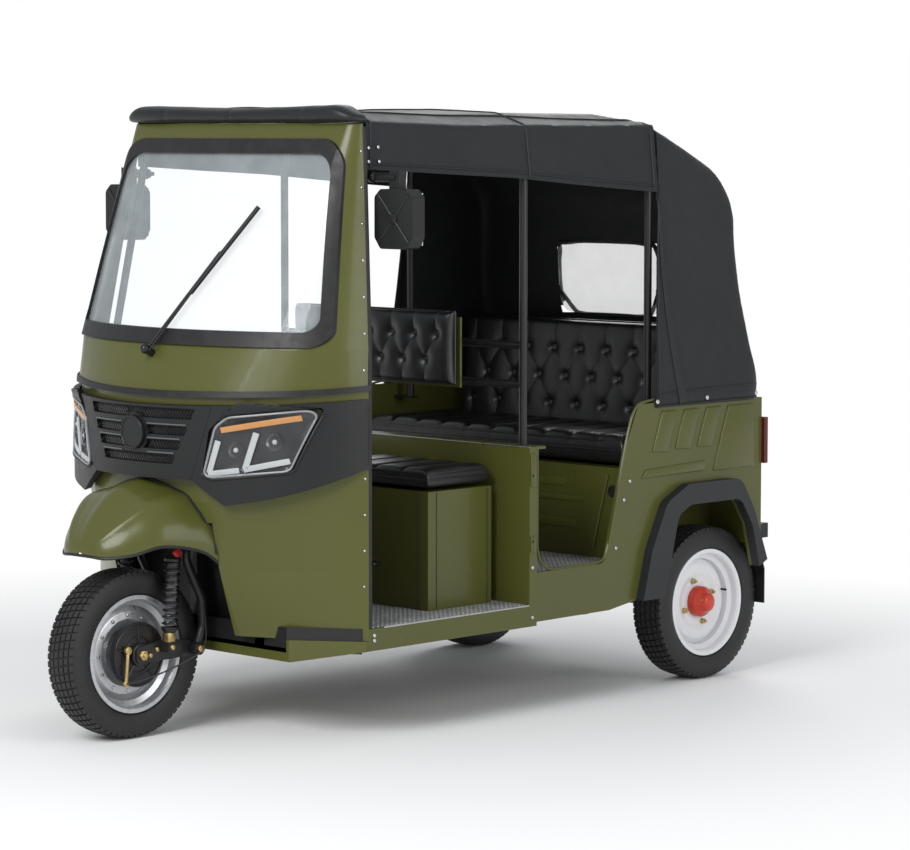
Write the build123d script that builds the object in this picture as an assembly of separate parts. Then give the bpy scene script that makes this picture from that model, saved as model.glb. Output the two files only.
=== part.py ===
from build123d import *

import math
import os

# Passenger tricycle: one steered front wheel, a driven rear axle, a sheet-metal body and a soft canopy.
# +X is the vehicle's left, -Y is forward and +Z is up. The origin lies on the ground, midway between the
# axles. All sizes are in millimetres.

# Wheels and axles
FRONT_AXLE_Y = -1010.0
REAR_AXLE_Y = 1010.0
HALF_TRACK = 497.0
TYRE_RADIUS = 250.0
TYRE_WIDTH = 124.0
BEAD_RADIUS = 166.0
BEAD_HALF = 46.5
RIM_WIDTH = 106.0
RIM_LIP = 8.0
RIM_WALL = 5.0
RIM_WELL_RADIUS = 146.0
HUB_RADIUS = 38.0
AXLE_RADIUS = 14.0
BORE_CLEARANCE = 0.1
AXLE_TUBE_RADIUS = 34.0
DRUM_RADIUS = 108.0
DRUM_WIDTH = 34.0
BRAKE_PLATE_RADIUS = 96.0
DIFF_RADIUS = 96.0
SHAFT_RADIUS = 16.0

# Steering and front suspension
STEER_TILT = 20.0
STEER_GROUND_Y = -1060.0
HEAD_LOW = 684.0
HEAD_HIGH = 860.0
HEAD_RADIUS = 30.0
NECK_HALF = 16.0
NECK_DEPTH = 40.0
NECK_BACK_TOP = 690.0
NECK_FRONT_TOP = 600.0
STEM_RADIUS = 15.0
STEM_TOP = 1090.0
CROWN_DEPTH = 18.0
CROWN_HALF = 116.0
CROWN_BACK = (-24.0, 36.0)
LEG_X = 100.0
LEG_RADIUS = 14.0
ARM_PIVOT = (-812.0, 252.0)
ARM_INNER = 72.0
ARM_OUTER = 86.0
SHOCK_X = 104.0
SHOCK_LOW = (-926.0, 292.0)
SHOCK_HIGH = (-905.0, 574.0)
SPRING_RADIUS = 24.0
ARM_EYE_TOP = 282.0
GRIP_HALF = 330.0
BAR_RADIUS = 11.0
CLAMP_HALF = 34.0
CLAMP_HEIGHT = 36.0

# Body heights and widths
HALF_WIDTH = 600.0
SHEET = 12.0
THIN_SHEET = 8.0
SILL_LOW = 270.0
DRIVER_FLOOR = 335.0
PASSENGER_FLOOR = 430.0
FLOOR_SHEET = 10.0
POST_Y = -590.0
POST_WRAP = 60.0
HEADER_TOP = 1800.0
TUB_TOP_FRONT = 922.0
TUB_TOP_REAR = 911.0
TAIL_Y = 1222.0
TAIL_LOW = 414.0
SEAT_GAP = 0.3
SEAM_GAP = 1.0
WHOLE_WIDTH = (-700.0, 700.0)
NOSE_REACH = (-1150.0, -690.0)

# Plan sections of the front body, each symmetric about X = 0:
# (height, half width at the post, post Y, shoulder X, shoulder Y, centre Y, bulge of the shoulder arc)
NOSE_SECTIONS = (
    (300.0, 600.0, POST_Y, 255.0, -780.0, -800.0, 12.0),
    (500.0, 600.0, POST_Y, 233.0, -845.0, -880.0, 14.0),
    (700.0, 600.0, POST_Y, 300.0, -862.0, -915.0, 24.0),
    (1060.0, 600.0, POST_Y, 400.0, -820.0, -930.0, 30.0),
)
MASK_SECTIONS = (
    (680.0, 603.0, POST_Y, 350.0, -875.0, -960.0, 44.0),
    (1060.0, 603.0, POST_Y, 400.0, -850.0, -968.0, 36.0),
)
HEADER_SECTIONS = (
    (990.0, 600.0, POST_Y, 400.0, -830.0, -940.0, 32.0),
    (1150.0, 590.0, -580.0, 412.0, -790.0, -885.0, 34.0),
    (HEADER_TOP, 495.0, -508.0, 462.0, -540.0, -565.0, 6.0),
)

# The belt slopes down to the front: (Y, height)
BELT_REAR = (POST_Y, 1038.0)
BELT_FRONT = (-1000.0, 1011.0)
BELT_HEIGHT = 16.0
BELT_PROUD = 9.0
MASK_DROP = 30.0

# Windscreen outlines in the front view: (X, Z, corner radius)
SCREEN_OUTER = (
    (-550.0, 1157.0, 45.0),
    (550.0, 1157.0, 45.0),
    (476.0, 1757.0, 100.0),
    (-476.0, 1757.0, 100.0),
)
SCREEN_HOLE = ((-535.0, 1178.0, 42.0), (535.0, 1178.0, 42.0), (463.0, 1736.0, 90.0), (-463.0, 1736.0, 90.0))
SCREEN_INNER = ((-520.0, 1200.0, 38.0), (520.0, 1200.0, 38.0), (450.0, 1714.0, 80.0), (-450.0, 1714.0, 80.0))
SCREEN_REACH = (-1100.0, -470.0)
RUBBER_PROUD = 10.0
GLASS_INSET = 2.0
GLASS_THICKNESS = 6.0

# Mask, grille and headlamps
MASK_DEPTH = 22.0
MASK_LOW_REAR = (-604.0, 802.0)
MASK_LOW_FRONT = (-892.0, 698.0)
NOTCH_FOOT = 312.0
NOTCH_TOP = 768.0
GRILLE_TOP_HALF = 302.0
GRILLE_LOW_HALF = 212.0
SLOT_ROWS = ((812.0, 840.0), (854.0, 882.0), (896.0, 924.0), (944.0, 976.0))
SLOT_DEPTH = 14.0
SLOT_CORNER = 6.0
SLOT_LOW_HALF = 147.0
SLOT_TOP_HALF = 232.0
EMBLEM_HEIGHT = 899.0
EMBLEM_RADIUS = 50.0
EMBLEM_RIM = 8.0
EMBLEM_Y = -962.0
EMBLEM_DEPTH = 26.0
LAMP_OUTLINE = (
    (244.0, 772.0, 14.0),
    (486.0, 800.0, 14.0),
    (549.0, 985.0, 8.0),
    (352.0, 1002.0, 30.0),
    (270.0, 916.0, 30.0),
)
LAMP_MIDDLE = (400.0, 890.0)
LAMP_REACH = (-1150.0, -640.0)
LENS_PROUD = 4.0

# Front fender sections: (Y, half width, edge height, crown height)
FENDER_SECTIONS = (
    (-1206.0, 40.0, 556.0, 578.0),
    (-1184.0, 92.0, 552.0, 622.0),
    (-1116.0, 152.0, 562.0, 690.0),
    (-1020.0, 198.0, 584.0, 736.0),
    (-900.0, 226.0, 560.0, 758.0),
    (-835.0, 240.0, 512.0, 764.0),
)
FENDER_SHEET = 6.0
WHEEL_OPENING = 236.0
OPENING_TOP = 640.0
CROWN_OPENING = 130.0
CROWN_OPENING_TOP = 712.0
LINER_HALF = 262.0
LINER_BACK = -690.0
LINER_TOP = 600.0
LINER_SHEET = 6.0
CROWN_SWEEP = 150.0
CROWN_SWEEP_BACK = -720.0

# Roof visor
VISOR_TOP = 1856.0
VISOR_HALF = 514.0
VISOR_HUMP = 440.0
VISOR_MIDDLE_TOP = 1846.0
VISOR_CORNER_TOP = 1824.0
VISOR_REAR = -506.0
VISOR_SIDE_Y = -578.0
VISOR_FRONT = -590.0

# Partition behind the driver
PARTITION_FRONT = 100.0
PARTITION_BACK = 133.0
PARTITION_TOP = 820.0
FLANGE_BACK = 172.0

# Canopy: half widths in plan (Y, X), half widths in the front view (X, Z), side profile (Y, Z, radius)
CANOPY_SHEET = 10.0
CANOPY_RUNOUT = VISOR_REAR - 60.0
CANOPY_PLAN = ((CANOPY_RUNOUT, 501.0), (133.0, 562.0), (400.0, 610.0))
CANOPY_FRONT = (
    (610.0, 880.0),
    (610.0, 935.0),
    (590.0, 1150.0),
    (572.0, 1374.0),
    (562.0, 1600.0),
    (540.0, 1796.0),
)
CANOPY_CROWN = 1842.0
CANOPY_PROFILE = (
    (1234.0, 880.0),
    (1234.0, 935.0),
    (1188.0, 1067.0),
    (1150.0, 1250.0),
    (1140.0, 1400.0),
    (1142.0, 1540.0, 60.0),
    (1050.0, 1664.0, 80.0),
    (740.0, 1800.0, 160.0),
    (560.0, 1842.0),
    (CANOPY_RUNOUT, 1850.0),
)
# The canopy's lower edge: the side flap, the rear door's edge and the hem (Y, Z, radius)
FLAP_FRONT = (VISOR_REAR - 40.0, 1666.0)
FLAP_REAR = (724.0, 1586.0)
DOOR_EDGE_LOW = (683.0, 905.0)
DOOR_EDGE_MIDDLE = (704.0, 1374.0)
HEM_HEIGHT = 905.0
CANOPY_SPLIT = (740.0, 1560.0)
REAR_WINDOW = (220.0, 1163.0, 1400.0, 46.0)

# Tub: rear doorway and wheel arch in the side view (Y, Z, radius)
DOORWAY = (
    (PARTITION_BACK, 1000.0),
    (PARTITION_BACK, PASSENGER_FLOOR + 4.0),
    (448.0, PASSENGER_FLOOR + 4.0, 34.0),
    (540.0, 780.0, 300.0),
    (606.0, 926.0, 46.0),
    (683.0, 936.0),
    (683.0, 1000.0),
)
ARCH_HOLE = (
    (702.0, 200.0),
    (702.0, 303.0),
    (768.0, 560.0, 50.0),
    (830.0, 590.0, 20.0),
    (1080.0, 590.0, 50.0),
    (1140.0, 500.0, 30.0),
    (1178.0, 360.0),
    (1178.0, 200.0),
)
ARCH_OUTER = (
    (597.0, 303.0),
    (639.0, 458.0),
    (712.0, 606.0, 60.0),
    (818.0, 657.0, 40.0),
    (1082.0, 657.0, 60.0),
    (1150.0, 550.0, 40.0),
    (1219.0, 380.0),
    (1178.0, 360.0),
    (1140.0, 500.0, 30.0),
    (1080.0, 590.0, 50.0),
    (830.0, 590.0, 20.0),
    (768.0, 560.0, 50.0),
    (702.0, 303.0),
)
FLARE_PROUD = 32.0
HOUSING_INNER = 404.0
HOUSING_TOP = 648.0
HOUSING_Y = (690.0, 1196.0)

# Seats
SEAT_BOX_HALF = 472.0
SEAT_BOX_Y = (-212.0, 66.0)
SEAT_BOX_TOP = 697.0
DRIVER_CUSHION_TOP = 767.0
BACKREST_HALF = 352.0
BACKREST_Z = (1002.0, 1228.0)
BACKREST_Y = (2.0, 56.0)
DECK_HEIGHT = 722.0
DECK_FRONT = 545.0
BENCH_HALF = 574.0
BENCH_FRONT = 560.0
BENCH_TOP = 826.0
BENCH_BACK = 955.0
BENCH_REST = ((958.0, 722.0), (1012.0, 1155.0, 24.0), (1092.0, 1148.0, 24.0), (1052.0, 722.0))

# Chassis
RAIL_X = 270.0
RAIL_WIDTH = 40.0
RAIL_DEPTH = 50.0
RAIL_FRONT = -735.0
RAIL_REAR = 1210.0
RAIL_RISE = (150.0, 240.0)
FRONT_BEAM = (-715.0, 415.0, 235.0, 275.0)
SKIRT_TOP = 299.7
# Crossbeams: (Y, half length, low edge, high edge)
CROSSBEAMS = (
    (-400.0, 586.0, 285.0, 325.0),
    (60.0, 586.0, 285.0, 325.0),
    (540.0, 586.0, 370.0, 410.0),
    (1190.0, 400.0, 370.0, 420.0),
)
BEAM_HALF_DEPTH = 20.0
ENGINE_HALF = 180.0
ENGINE_Y = (-190.0, 39.0)
ENGINE_Z = (245.0, 560.0)
TUBE_RADIUS = 12.5
B_TUBE = (530.0, 145.0)
C_TUBE = (528.0, 730.0)
HOOP_BEND = 120.0
BAR_HEIGHTS = (1005.0, 1125.0)
SPRING_X = 290.0
SPRING_WIDTH = 44.0


def block(x_range, y_range, z_range):
    """A box between three pairs of coordinates."""
    size = [high - low for low, high in (x_range, y_range, z_range)]
    centre = [(high + low) / 2 for low, high in (x_range, y_range, z_range)]
    return Pos(*centre) * Box(*size)


def outline(points):
    """A face bounded by straight runs whose corners are rounded: (a, b) or (a, b, radius)."""
    ends = []
    count = len(points)
    for i, point in enumerate(points):
        corner = Vector(*point[:2])
        radius = point[2] if len(point) > 2 else 0.0
        if radius == 0.0:
            ends.append((corner, None, corner))
            continue
        back = (Vector(*points[i - 1][:2]) - corner).normalized()
        ahead = (Vector(*points[(i + 1) % count][:2]) - corner).normalized()
        half = math.radians(back.get_angle(ahead)) / 2
        reach = radius / math.tan(half)
        middle = corner + (back + ahead).normalized() * (radius / math.sin(half) - radius)
        ends.append((corner + back * reach, middle, corner + ahead * reach))
    edges = []
    for i, (start, middle, finish) in enumerate(ends):
        if middle is not None:
            edges.append(ThreePointArc(start, middle, finish))
        following = ends[(i + 1) % count][0]
        if (following - finish).length > 1e-6:
            edges.append(Line(finish, following))
    return make_face(edges)


def side_prism(points, x_range):
    """A side-view outline in (Y, Z), extruded across the vehicle."""
    plane = Plane(origin=(x_range[0], 0, 0), x_dir=(0, 1, 0), z_dir=(1, 0, 0))
    return extrude(plane * outline(points), amount=x_range[1] - x_range[0])


def front_prism(points, y_range):
    """A front-view outline in (X, Z), extruded along the vehicle."""
    plane = Plane(origin=(0, y_range[1], 0), x_dir=(1, 0, 0), z_dir=(0, -1, 0))
    return extrude(plane * outline(points), amount=y_range[1] - y_range[0])


def plan_prism(points, z_range):
    """A plan outline in (X, Y), extruded upwards."""
    return extrude(Plane.XY.offset(z_range[0]) * outline(points), amount=z_range[1] - z_range[0])


def rod(start, end, radius):
    """A round bar between two points."""
    run = Vector(*end) - Vector(*start)
    bar = Cylinder(radius, run.length, align=(Align.CENTER, Align.CENTER, Align.MIN))
    return Plane(origin=start, z_dir=run.normalized()) * bar


def bent_tube(points, radius, bend):
    """A round tube along straight runs joined by arcs."""
    path = FilletPolyline(*points, radius=bend)
    return sweep(Plane(origin=path @ 0, z_dir=path % 0) * Circle(radius), path=path)


def disc_x(centre, radius, width):
    """A disc or drum about an axis along X, centred on a point."""
    return Pos(*centre) * Rot(0, 90, 0) * Cylinder(radius, width)


def disc_y(centre, radius, depth):
    """A disc about an axis along Y, centred on a point."""
    return Pos(*centre) * Rot(90, 0, 0) * Cylinder(radius, depth)


def turned_x(points, centre):
    """A solid of revolution about an axis along X, from (X, radius) points."""
    face = outline(points)
    return Pos(*centre) * revolve(face, axis=Axis.X, revolution_arc=360.0)


def mirrored(shape):
    """The same piece on the vehicle's right."""
    return mirror(shape, about=Plane.YZ)


def gather(*shapes):
    """Separate solids kept together as one node."""
    return Compound(children=[solid for shape in shapes for solid in shape.solids()])


def both_sides(shape):
    """A piece and its mirror image, which don't touch."""
    return gather(shape, mirrored(shape))


def section_wire(section, inset, wrap):
    """One plan section of the front body, moved in by inset and drawn back behind the post by wrap."""
    height, half, post_y, shoulder_x, shoulder_y, centre_y, bulge = section
    depth = shoulder_y - centre_y
    radius = (shoulder_x**2 + depth**2) / (2 * depth)
    shoulder = Vector(
        shoulder_x - inset * shoulder_x / radius,
        shoulder_y - inset * (depth - radius) / radius,
    )
    post = Vector(half - inset, post_y)
    chord = post - shoulder
    middle = (shoulder + post) * 0.5 + Vector(chord.Y, -chord.X).normalized() * bulge
    rear = Vector(half - inset, post_y + wrap)

    def at(point, side):
        return Vector(side * point.X, point.Y, height)

    edges = [
        ThreePointArc(at(shoulder, -1), Vector(0, centre_y + inset, height), at(shoulder, 1)),
        ThreePointArc(at(shoulder, 1), at(middle, 1), at(post, 1)),
        Line(at(post, 1), at(rear, 1)),
        Line(at(rear, 1), at(rear, -1)),
        Line(at(rear, -1), at(post, -1)),
        ThreePointArc(at(post, -1), at(middle, -1), at(shoulder, -1)),
    ]
    return Wire(edges)


def front_solid(sections, inset, wrap):
    """The front body's solid shape, lofted straight from section to section."""
    return Solid.make_loft([section_wire(section, inset, wrap) for section in sections], True)


def front_shell(sections, outside, inside):
    """The wall between two insets of the front body, open behind the posts."""
    return front_solid(sections, outside, SEAM_GAP) - front_solid(sections, inside, POST_WRAP)


def belt_at(y, rise):
    """A height above the belt line at a distance along the vehicle."""
    slope = (BELT_REAR[1] - BELT_FRONT[1]) / (BELT_REAR[0] - BELT_FRONT[0])
    return BELT_REAR[1] + slope * (y - BELT_REAR[0]) + rise


def belt_band(low, high):
    """Everything between two heights above the belt line, across the whole nose."""
    front = NOSE_REACH[0]
    rear = POST_Y + 100.0
    corners = [(front, low), (rear, low), (rear, high), (front, high)]
    return side_prism([(y, belt_at(y, rise)) for y, rise in corners], WHOLE_WIDTH)


# Front body panels
nose = front_shell(NOSE_SECTIONS, 0.0, SHEET) & belt_band(-2000.0, -SEAT_GAP)
nose -= block((-WHEEL_OPENING, WHEEL_OPENING), (-1100.0, POST_Y), (200.0, OPENING_TOP))
nose -= block((-CROWN_OPENING, CROWN_OPENING), (-1100.0, POST_Y), (200.0, CROWN_OPENING_TOP))

screen_hole = front_prism(SCREEN_HOLE, SCREEN_REACH)
screen_inner = front_prism(SCREEN_INNER, SCREEN_REACH)
header = (front_shell(HEADER_SECTIONS, 0.0, SHEET) & belt_band(0.0, 2000.0)) - screen_hole

# Windscreen: an outer lip over the panel's edge and a web in its hole hold the glass
seal_lip = front_shell(HEADER_SECTIONS, -RUBBER_PROUD, 0.0) & front_prism(SCREEN_OUTER, SCREEN_REACH)
seal_web = front_shell(HEADER_SECTIONS, 0.0, SHEET) & screen_hole
seal = (seal_lip + seal_web) - screen_inner
glass = front_shell(HEADER_SECTIONS, GLASS_INSET, GLASS_INSET + GLASS_THICKNESS) & screen_inner

nose_skin = front_solid(NOSE_SECTIONS, -SEAT_GAP, POST_WRAP)
belt = front_shell(HEADER_SECTIONS, -BELT_PROUD, -SEAT_GAP) & belt_band(-BELT_HEIGHT / 2, BELT_HEIGHT / 2)
belt -= nose_skin

# Black mask below the belt: a grille in the middle and a wedge-shaped bezel each side
mask_zone = belt_band(-400.0, -MASK_DROP) & side_prism(
    [
        MASK_LOW_REAR,
        (POST_Y + 20.0, MASK_LOW_REAR[1]),
        (POST_Y + 20.0, 1100.0),
        (NOSE_REACH[0], 1100.0),
        (NOSE_REACH[0], MASK_LOW_FRONT[1]),
        MASK_LOW_FRONT,
    ],
    WHOLE_WIDTH,
)
mask_zone -= front_prism(
    [
        (-NOTCH_FOOT, MASK_LOW_FRONT[1] - 50.0),
        (NOTCH_FOOT, MASK_LOW_FRONT[1] - 50.0),
        (NOTCH_FOOT, MASK_LOW_FRONT[1]),
        (GRILLE_LOW_HALF, NOTCH_TOP),
        (-GRILLE_LOW_HALF, NOTCH_TOP),
        (-NOTCH_FOOT, MASK_LOW_FRONT[1]),
    ],
    NOSE_REACH,
)
mask = (front_shell(MASK_SECTIONS, 0.0, MASK_DEPTH) & mask_zone) - nose_skin


def grille_zone(grow):
    """The middle third of the mask, between the two slanted seams."""
    low = GRILLE_LOW_HALF + grow
    high = GRILLE_TOP_HALF + grow
    return front_prism(
        [(-low, 700.0), (low, 700.0), (low, NOTCH_TOP), (high, 1060.0), (-high, 1060.0), (-low, NOTCH_TOP)],
        NOSE_REACH,
    )


def slot_half(height):
    """Half the width of the grille opening at a height."""
    share = (height - SLOT_ROWS[0][0]) / (SLOT_ROWS[-1][1] - SLOT_ROWS[0][0])
    return SLOT_LOW_HALF + share * (SLOT_TOP_HALF - SLOT_LOW_HALF)


grille = mask & grille_zone(0.0)
slot_skin = front_shell(MASK_SECTIONS, -5.0, SLOT_DEPTH)
emblem_seat = disc_y((0.0, EMBLEM_Y, EMBLEM_HEIGHT), EMBLEM_RADIUS + EMBLEM_RIM, 300.0)
for low, high in SLOT_ROWS:
    foot, head = slot_half(low), slot_half(high)
    corners = [(-foot, low), (foot, low), (head, high), (-head, high)]
    slot = front_prism([(x, z, SLOT_CORNER) for x, z in corners], NOSE_REACH)
    grille -= (slot_skin & slot) - emblem_seat
grille += disc_y((0.0, EMBLEM_Y, EMBLEM_HEIGHT), EMBLEM_RADIUS, EMBLEM_DEPTH)

# Headlamps: clear lenses that follow the mask, each in the hole of its bezel
lamp_hole = front_prism(LAMP_OUTLINE, LAMP_REACH)
bezels = (mask - grille_zone(SEAM_GAP)) - lamp_hole - mirrored(lamp_hole)
lens_outline = [
    (
        x + math.copysign(SEAM_GAP / 2, LAMP_MIDDLE[0] - x),
        z + math.copysign(SEAM_GAP / 2, LAMP_MIDDLE[1] - z),
        radius,
    )
    for x, z, radius in LAMP_OUTLINE
]
lens = front_shell(MASK_SECTIONS, -LENS_PROUD, MASK_DEPTH) & front_prism(lens_outline, LAMP_REACH)
headlamps = both_sides(lens - nose_skin)

# Visor: the padded front edge of the roof
visor = plan_prism(
    [
        (-VISOR_HALF, VISOR_REAR),
        (-VISOR_HALF, VISOR_SIDE_Y, 34.0),
        (0.0, VISOR_FRONT, 1500.0),
        (VISOR_HALF, VISOR_SIDE_Y, 34.0),
        (VISOR_HALF, VISOR_REAR),
    ],
    (HEADER_TOP + SEAT_GAP, VISOR_TOP),
)
visor &= front_prism(
    [
        (-VISOR_HALF, HEADER_TOP),
        (-VISOR_HALF, VISOR_CORNER_TOP, 20.0),
        (-VISOR_HUMP, VISOR_TOP, 80.0),
        (0.0, VISOR_MIDDLE_TOP, 3000.0),
        (VISOR_HUMP, VISOR_TOP, 80.0),
        (VISOR_HALF, VISOR_CORNER_TOP, 20.0),
        (VISOR_HALF, HEADER_TOP),
    ],
    (VISOR_FRONT - 20.0, VISOR_REAR + 20.0),
)


def fender_solid(inset):
    """The fender's arched shape, moved in by inset."""
    wires = []
    for y, half, edge, crown in FENDER_SECTIONS:
        left = Vector(-(half - inset), y, edge)
        right = Vector(half - inset, y, edge)
        wires.append(Wire([ThreePointArc(left, Vector(0, y, crown - inset), right), Line(right, left)]))
    return Solid.make_loft(wires, True)


fender_tip = FENDER_SECTIONS[0][0]
fender_nib = block((-400.0, 400.0), (fender_tip - 9.0, fender_tip + FENDER_SHEET), (400.0, 800.0))
fender_core = fender_solid(FENDER_SHEET) - fender_nib
fender = (fender_solid(0.0) - fender_core) - nose_skin

# Steering axis
STEER_AXIS = Vector(0, math.sin(math.radians(STEER_TILT)), math.cos(math.radians(STEER_TILT)))
STEER_PLANE = Plane(origin=(0, STEER_GROUND_Y, 0), x_dir=(1, 0, 0), z_dir=STEER_AXIS)


def steer_point(along, back=0.0, across=0.0):
    """A point of the steering frame: a length along the axis, and offsets behind and beside it."""
    return STEER_PLANE.from_local_coords(Vector(across, back, along))


# Chassis: two rails that rise over the rear axle, crossbeams and the steering head on its neck
rail_low = DRIVER_FLOOR - FLOOR_SHEET
rail_high = PASSENGER_FLOOR - FLOOR_SHEET
rail = side_prism(
    [
        (RAIL_FRONT, rail_low - RAIL_DEPTH),
        (RAIL_RISE[0] + 10.0, rail_low - RAIL_DEPTH),
        (RAIL_RISE[1] + 10.0, rail_high - RAIL_DEPTH),
        (RAIL_REAR, rail_high - RAIL_DEPTH),
        (RAIL_REAR, rail_high),
        (RAIL_RISE[1], rail_high),
        (RAIL_RISE[0], rail_low),
        (RAIL_FRONT, rail_low),
    ],
    (RAIL_X, RAIL_X + RAIL_WIDTH),
)
chassis = rail + mirrored(rail)
for y, half, low, high in CROSSBEAMS:
    chassis += block((-half, half), (y - BEAM_HALF_DEPTH, y + BEAM_HALF_DEPTH), (low, high))
head_tube = rod(steer_point(HEAD_LOW), steer_point(HEAD_HIGH), HEAD_RADIUS)
neck = side_prism(
    [
        (RAIL_FRONT, FRONT_BEAM[3]),
        (RAIL_FRONT + NECK_DEPTH, FRONT_BEAM[3]),
        (RAIL_FRONT + NECK_DEPTH, NECK_BACK_TOP),
        tuple(steer_point(HEAD_HIGH - 20.0, 20.0))[1:],
        tuple(steer_point(HEAD_LOW + 20.0, 20.0))[1:],
        (RAIL_FRONT, NECK_FRONT_TOP),
    ],
    (-NECK_HALF, NECK_HALF),
)
stem_bore = rod(steer_point(HEAD_LOW - 60.0), steer_point(HEAD_HIGH + 60.0), STEM_RADIUS + BORE_CLEARANCE)
chassis = (chassis + neck + head_tube) - stem_bore

# Front beam under the nose, with a slanted skirt each side that meets the sill
beam_y, beam_half, beam_low, beam_high = FRONT_BEAM
beam_face = beam_y - BEAM_HALF_DEPTH
sill_front = POST_Y + SEAM_GAP
front_beam = block((-beam_half, beam_half), (beam_face, beam_y + BEAM_HALF_DEPTH), (beam_low, beam_high))
skirt = plan_prism(
    [
        (beam_half - 12.0, beam_face),
        (beam_half, beam_face),
        (HALF_WIDTH, sill_front - 12.0),
        (HALF_WIDTH, sill_front - SEAT_GAP),
        (HALF_WIDTH - SHEET, sill_front - SEAT_GAP),
        (beam_half - 12.0, beam_face + 14.0),
    ],
    (beam_low, SKIRT_TOP),
)
skirt -= front_prism(
    [(beam_half, beam_low - 1.0), (HALF_WIDTH + 1.0, beam_low - 1.0), (HALF_WIDTH + 1.0, SILL_LOW)],
    (beam_face - 1.0, POST_Y + POST_WRAP),
)
front_beam = front_beam + skirt + mirrored(skirt)

# Inner wheel well behind the front wheel, around the neck
liner = block((-LINER_HALF, LINER_HALF), (-900.0, LINER_BACK), (280.0, LINER_TOP + LINER_SHEET))
liner -= block(
    (-LINER_HALF + LINER_SHEET, LINER_HALF - LINER_SHEET),
    (-950.0, LINER_BACK - LINER_SHEET),
    (200.0, LINER_TOP),
)
liner &= front_solid(NOSE_SECTIONS, SHEET + SEAT_GAP, SEAM_GAP)
liner -= block((-CROWN_SWEEP, CROWN_SWEEP), (-900.0, CROWN_SWEEP_BACK), (LINER_TOP - 20.0, LINER_TOP + 20.0))
liner -= block((-NECK_HALF - SEAT_GAP, NECK_HALF + SEAT_GAP), (-900.0, POST_Y), (200.0, 700.0))
liner -= block((-700.0, 700.0), (RAIL_FRONT - SEAT_GAP, POST_Y), (200.0, rail_low))

# Floors: the driver's plate with a sill along each doorway, and the passengers' raised plate
driver_floor = block((-588.0, 588.0), (POST_Y + SEAM_GAP, PARTITION_BACK), (rail_low, DRIVER_FLOOR))
driver_floor += block((-250.0, 250.0), (LINER_BACK + SEAT_GAP, POST_Y + SEAM_GAP), (rail_low, DRIVER_FLOOR))
sill = block((588.0, HALF_WIDTH), (POST_Y + SEAM_GAP, PARTITION_FRONT), (SILL_LOW, DRIVER_FLOOR))
engine_hole = block(
    (-ENGINE_HALF - 6.0, ENGINE_HALF + 6.0),
    (ENGINE_Y[0] - 6.0, ENGINE_Y[1] + 1.0),
    (rail_low - 1.0, DRIVER_FLOOR + 1.0),
)
driver_floor = (driver_floor + sill + mirrored(sill)) - engine_hole
passenger_floor = block((-587.0, 587.0), (PARTITION_BACK, DECK_FRONT), (rail_high, PASSENGER_FLOOR))
riser_y = (PARTITION_BACK, PARTITION_BACK + SHEET)
passenger_floor += block((-587.0, 587.0), riser_y, (DRIVER_FLOOR, rail_high))

# Partition: a boxed wall whose top flange carries the two tubes
across = (-HALF_WIDTH, HALF_WIDTH)
partition_y = (PARTITION_FRONT, PARTITION_BACK)
partition = block(across, partition_y, (DRIVER_FLOOR, PARTITION_TOP))
partition += block(across, (PARTITION_FRONT, FLANGE_BACK), (PARTITION_TOP - THIN_SHEET, PARTITION_TOP))
partition_foot = block((HALF_WIDTH - SHEET, HALF_WIDTH), partition_y, (SILL_LOW, DRIVER_FLOOR))
partition = partition + partition_foot + mirrored(partition_foot)

# Tub sides with the rear doorway and wheel arch, and the tail panel between them
tub_outline = [
    (PARTITION_BACK, SILL_LOW + 12.0),
    (468.0, SILL_LOW + 14.0),
    (597.0, 303.0),
    (702.0, 303.0),
    (1178.0, 360.0),
    (TAIL_Y, TAIL_LOW),
    (TAIL_Y, TUB_TOP_REAR),
    (683.0, TUB_TOP_FRONT),
    (PARTITION_BACK, TUB_TOP_FRONT),
]
tub_left = side_prism(tub_outline, (HALF_WIDTH - SHEET, HALF_WIDTH))
tub_left -= side_prism(DOORWAY, (HALF_WIDTH - 50.0, HALF_WIDTH + 50.0))
tub_left -= side_prism(ARCH_HOLE, (HALF_WIDTH - 50.0, HALF_WIDTH + 50.0))
tub_right = mirrored(tub_left)
tail_panel = block(
    (-HALF_WIDTH + SHEET, HALF_WIDTH - SHEET), (TAIL_Y - SHEET, TAIL_Y), (TAIL_LOW, TUB_TOP_REAR)
)

# Wheel housings inside the tub, and the flares and mud flaps outside
housing_outer = block((HOUSING_INNER, HALF_WIDTH - SHEET), HOUSING_Y, (PASSENGER_FLOOR - 60.0, HOUSING_TOP))
housing_core = block(
    (HOUSING_INNER + THIN_SHEET, HALF_WIDTH),
    (HOUSING_Y[0] + THIN_SHEET, HOUSING_Y[1] - THIN_SHEET),
    (300.0, HOUSING_TOP - THIN_SHEET),
)
housing = housing_outer - housing_core
housing_middle = (HOUSING_INNER + THIN_SHEET + HALF_WIDTH) / 2
housing_width = HALF_WIDTH - HOUSING_INNER - THIN_SHEET
housing -= disc_x((housing_middle, REAR_AXLE_Y, TYRE_RADIUS), TYRE_RADIUS + 8.0, housing_width)
housings = both_sides(housing)
flare = side_prism(ARCH_OUTER, (HALF_WIDTH, HALF_WIDTH + FLARE_PROUD))
flares = both_sides(flare)
mud_flap = side_prism(
    [
        (TAIL_Y, 444.0),
        (TAIL_Y + 5.0, 444.0),
        (1270.0, 340.0),
        (1270.0, 225.0),
        (1265.0, 225.0),
        (1265.0, 338.0),
    ],
    (440.0, 580.0),
)
mud_flaps = both_sides(mud_flap)

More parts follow.
